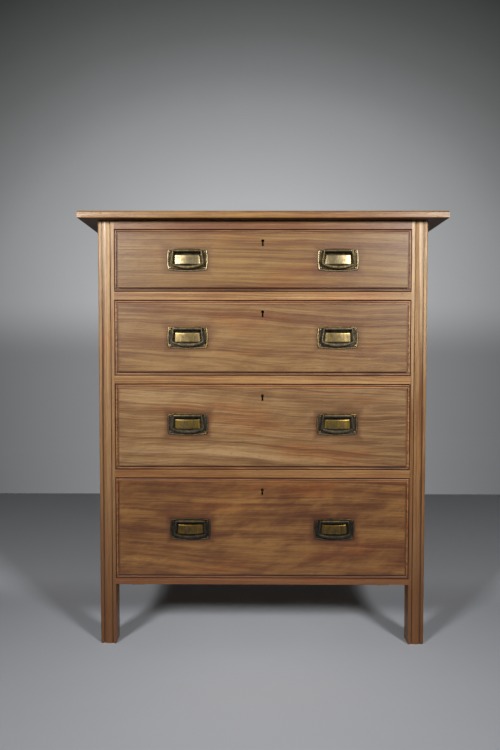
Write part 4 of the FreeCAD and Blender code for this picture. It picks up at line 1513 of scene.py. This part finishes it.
@dataclass
class Studio:
    """A pale floor and a grey wall with painted light, two pairs of soft lamps and the camera.

    Attributes:
        eye: the camera's place.
        yaw: the camera's turn to the left, in degrees.
        pitch: its tilt, in degrees.
        roll: its roll, in degrees.
        focal: focal length for a frame of the film's height.
        film: the film's height, in millimetres.
        edge: where the floor's pale paint ends, behind the middle of the chest.
        wall: the wall's distance behind it.
        half: half the width of the floor and the wall, and the wall's height.
        front: the lamps before the chest.
        behind: the weak lamps behind it, for the back and the sides. Their beams are narrow,
            so that the floor stays as it is.
        air: colour of the room's even light.
        world: strength of that light.
        sheen: its strength in reflections.
    """

    eye: Point = (-0.0226, -1.8157, 0.7506)
    yaw: float = 0.312
    pitch: float = -2.237
    roll: float = 0.07
    focal: float = 30.72
    film: float = 36.0
    edge: float = 1.5
    wall: float = 4.0
    half: float = 8.0
    front: SoftLight = SoftLight(
        "soft_light", off=(1.3, -2.2, 1.62), aim=(0.0, -0.2, 1.0), size=(0.45, 0.56),
        watts=16.7, beam=125.0)
    behind: SoftLight = SoftLight(
        "back_light", off=(2.5, 2.5, 0.88), aim=(0.0, 0.1, 0.78), size=(1.3, 0.36),
        watts=1.3, beam=19.0)
    air: tuple[float, float, float, float] = (1.0, 0.98, 0.95, 1.0)
    world: float = 0.022
    sheen: float = 0.1

    def build(self) -> None:
        """Build the room, its lights and the camera."""
        self._room()
        self._air()
        for side in Side:
            self.front.build(side)
            self.behind.build(side)
        self._camera()

    def _sheet(self, name: str, corners: Sequence[Point], finish: bpy.types.Material) -> None:
        """Build one flat sheet of the room.

        Args:
            name: its name.
            corners: its corners.
            finish: its paint.
        """
        mesh = bpy.data.meshes.new(name)
        mesh.from_pydata(corners, [], [tuple(range(len(corners)))])
        mesh.materials.append(finish)
        set_out(name, mesh)

    def _room(self) -> None:
        """Build the floor, the strip of floor before the wall, and the wall."""
        left, right = -self.half, self.half
        glowing_paper = BackdropPaintedLight(edge=self.edge).material()
        spans = (
            ("studio_floor", left, 0, self.edge, 0, FloorPaintAndLight().material()),
            ("studio_strip", self.edge, 0, self.wall, 0, glowing_paper),
            ("studio_wall", self.wall, 0, self.wall, self.half, glowing_paper),
        )
        for name, y, z, far_y, far_z, finish in spans:
            corners = [(left, y, z), (right, y, z), (right, far_y, far_z), (left, far_y, far_z)]
            self._sheet(name, corners, finish)

    def _air(self) -> None:
        """Give the room its even light, and another strength of it in reflections."""
        world = bpy.data.worlds.new("studio_air")
        world.use_nodes = True
        air = NodeSheet(world.node_tree)
        faint, shown = [
            air.add("ShaderNodeBackground", {0: self.air, 1: strength}).outputs[0]
            for strength in (self.world, self.sheen)
        ]
        mixed = air.add("ShaderNodeMixShader", {0: air.seen(), 1: faint, 2: shown}).outputs[0]
        air.add("ShaderNodeOutputWorld", {0: mixed})
        bpy.context.scene.world = world

    def _camera(self) -> None:
        """Set the camera at the photographed view."""
        data = bpy.data.cameras.new("front_view")
        data.sensor_fit = "VERTICAL"
        data.sensor_height = self.film
        data.lens = self.focal
        turn = Matrix.Identity(4)
        for degrees, axis in ((self.yaw, "Z"), (90 + self.pitch, "X"), (self.roll, "Z")):
            turn = turn @ Matrix.Rotation(math.radians(degrees), 4, axis)
        camera = set_out("front_view", data)
        camera.matrix_world = Matrix.Translation(Vector(self.eye)) @ turn
        bpy.context.scene.camera = camera
        bpy.context.scene.view_settings.view_transform = "Standard"


# The border round a drawer front's field, the half size of the polish that has gathered round a
# handle, and its middle, in from the plates' outer end.
BORDER = 8.5 * MM
HANDLE_HALF = (50 * MM, 27 * MM)
HANDLE_IN = 51 * MM
# A patch with this half size has only one edge near the chest: it stands for a straight line.
LINE = 1.0


def front_stains(word: str) -> tuple[DarkPatch, ...]:
    """Place the gathered polish on a drawer front: along its border and round its handles.

    Args:
        word: the drawer's number.

    Returns:
        The stains.
    """
    low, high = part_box("drawer_" + word + "_front")
    plate_low, plate_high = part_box("drawer_" + word + "_handle_plates")
    half = (high.x - BORDER, (high.z - low.z) / 2 - BORDER)
    dark_patches = [DarkPatch((0.0, (low.z + high.z) / 2), half, reach=0.006, strength=0.5)]
    strength = 0.5 if word in ("one", "two") else 0.72
    for side in Side:
        spot = (side.value * (plate_high.x - HANDLE_IN), (plate_low.z + plate_high.z) / 2)
        dark_patches.append(DarkPatch(spot, HANDLE_HALF, reach=0.02, strength=strength))
    return tuple(dark_patches)


def border_stains_and_shade(word: str) -> tuple[DarkPatch, ...]:
    """Place dark old polish with painted shade along the gap all round a drawer's moulding, and
    painted shade below and at the left.

    Args:
        word: the drawer's number.

    Returns:
        The patches.
    """
    low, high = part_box("drawer_" + word + "_moulding")
    middle, half = (0.0, (low.z + high.z) / 2), (high.x, (high.z - low.z) / 2)
    inner = 5.5 * MM + LINE
    return (
        # Dark old polish, with painted shade along the gap, all round.
        DarkPatch(middle, half, reach=0.0034, strength=0.95),
        # Painted shade along the bottom.
        DarkPatch((0.0, low.z + inner), (LINE, LINE), reach=0.006, strength=0.66),
        # Painted shade at the left.
        DarkPatch((low.x + inner, low.z), (LINE, LINE), reach=0.006, strength=0.3),
    )


def drawers() -> list[Drawer]:
    """Choose the four drawers' woods and metals.

    Returns:
        The drawers from the top one down.
    """
    border = dict(ring=0.006, gloss=0.4, stain_and_shade=(72, 24, 8))
    woods = {
        "one": dict(pale=(172, 135, 80), body=(142, 103, 54), dark=(120, 75, 36),
                    stain_and_shade=(98, 48, 20), figure=Figure.STRAIGHT, heart=(0.80, -0.16), ring=0.013,
                    waver=0.022, slant=0.03, shift=1.3),
        "two": dict(pale=(178, 141, 92), body=(147, 108, 65), dark=(124, 79, 44),
                    stain_and_shade=(96, 48, 22), figure=Figure.WAVY, heart=(0.74, -0.17), ring=0.012,
                    waver=0.024, slant=0.04, shift=2.7),
        "three": dict(pale=(192, 156, 112), body=(160, 123, 80), dark=(126, 87, 51),
                      stain_and_shade=(98, 54, 27), figure=Figure.WAVY, heart=(0.30, 0.1), ring=0.013,
                      waver=0.02, slant=0.05, shift=4.1),
        "four": dict(pale=(168, 122, 68), body=(132, 87, 44), dark=(96, 55, 24),
                     stain_and_shade=(86, 37, 12), figure=Figure.CURLY, heart=(0.10, 0.1), ring=0.016,
                     waver=0.03, slant=0.04, shift=5.9, gloss=0.4),
    }
    shades = {
        "one": dict(pale=(184, 138, 96), body=(157, 112, 73), dark=(119, 78, 46)),
        "two": dict(pale=(216, 166, 124), body=(190, 140, 100), dark=(146, 100, 66)),
        "three": dict(pale=(218, 162, 108), body=(192, 136, 86), dark=(148, 98, 56)),
        "four": dict(pale=(196, 138, 92), body=(165, 113, 71), dark=(118, 75, 43)),
    }
    # Bright, aged and dark metal, its polish, and its shift.
    metals = {
        "one": ((184, 170, 136), (116, 102, 72), (44, 37, 27), 0.36, 0.1),
        "two": ((204, 176, 112), (118, 109, 92), (46, 41, 34), 0.37, 0.4),
        "three": ((198, 164, 76), (110, 101, 86), (52, 48, 43), 0.35, 0.7),
        "four": ((160, 126, 54), (88, 81, 70), (42, 39, 36), 0.36, 0.9),
    }
    rubbed = {"one": 0.9, "two": 0.78, "three": 0.6, "four": 0.55}
    return [
        Drawer(
            word,
            WoodFinish("front_wood_" + word, dark_patches=front_stains(word), **wood),
            WoodFinish("moulding_wood_" + word, shift=wood["shift"] + 0.5,
                       dark_patches=border_stains_and_shade(word), **shades[word], **border),
            BrassFinish("brass_" + word, *metals[word]),
            HandlePlate(rubbed=rubbed[word]),
            Bail(rubbed=rubbed[word]),
        )
        for word, wood in woods.items()
    ]


def case() -> Case:
    """Choose the case's woods.

    Returns:
        The case.
    """
    board = dict(pale=(188, 144, 83), body=(156, 111, 56), dark=(119, 75, 36),
                 stain_and_shade=(104, 48, 18))
    rail = dict(pale=(209, 166, 112), body=(179, 134, 82), dark=(138, 91, 48),
                stain_and_shade=(112, 52, 20))
    post = dict(pale=(234, 198, 150), body=(205, 163, 113), dark=(157, 109, 65),
                stain_and_shade=(112, 62, 12))
    inner = dict(pale=(188, 158, 118), body=(164, 132, 94), dark=(128, 96, 64))
    back = dict(pale=(170, 136, 98), body=(146, 112, 78), dark=(112, 80, 52))
    # Painted shadow of the top board's overhang along the top of the front top rail.
    painted_top_shadow = DarkPatch((0.0, 1.068), (0.6, 0.010), reach=0.020, strength=0.7)
    # Dust and painted shade in the posts' grooves.
    grooves = (Groove(0.38075, 0.0016, strength=0.3), Groove(0.4022, 0.0014, strength=0.7))
    return Case(
        top=WoodFinish(
            "top_wood", grain=Grain.ALONG_X_FLAT, heart=(0.1, 0.9), ring=0.02, waver=0.03,
            shift=7.7, raw_shaded_below=1.0741, **board),
        # Posts and rails: painted shade towards the floor, by foot.
        posts=WoodFinish(
            "post_wood", grain=Grain.ALONG_Z, heart=(0.2, 0.1), ring=0.009, waver=0.006,
            slant=0.01, shift=8.9, foot=(0.1, 1.02, 0.92), grooves=grooves, **post),
        rails=WoodFinish(
            "rail_wood", heart=(-0.5, 0.2), ring=0.008, waver=0.008, slant=0.01, shift=3.3,
            foot=(0.1, 0.62, 0.72), dark_patches=(painted_top_shadow,), **rail),
        panels=WoodFinish(
            "panel_wood", grain=Grain.ALONG_Z, heart=(0.1, 0.05), waver=0.02, slant=0.03,
            shift=0.6, **board),
        side_rails=WoodFinish(
            "side_rail_wood", grain=Grain.ALONG_Y, heart=(0.3, 0.1), ring=0.01, shift=6.2, **board),
        inside=WoodFinish(
            "inner_wood", grain=Grain.ALONG_Y, shift=2.2, gloss=0.6, coat=0.0, **inner),
        back=WoodFinish(
            "back_wood", grain=Grain.ALONG_Z, heart=(0.3, 0.3), shift=5.2, gloss=0.6, coat=0.0,
            **back),
    )


def main() -> None:
    """Build the studio and the chest, and report each piece."""
    logging.basicConfig(level=logging.INFO, format="%(name)s: %(message)s")
    Studio().build()
    case().build()
    box = WoodFinish(
        "drawer_box_wood", pale=(206, 176, 134), body=(184, 150, 108), dark=(150, 116, 78),
        grain=Grain.ALONG_Y, heart=(0.9, 0.3), shift=4.7, gloss=0.58, coat=0.0).material()
    lock = PlainMetal("lock_brass_dull", clean=(170, 140, 84), dull=(96, 76, 46)).material()
    bolt = PlainMetal("lock_steel_dull", clean=(150, 148, 142), dull=(92, 84, 76)).material()
    for drawer in drawers():
        drawer.build(box, lock, bolt)
    bpy.context.view_layer.update()


if __name__ == "__main__":
    main()
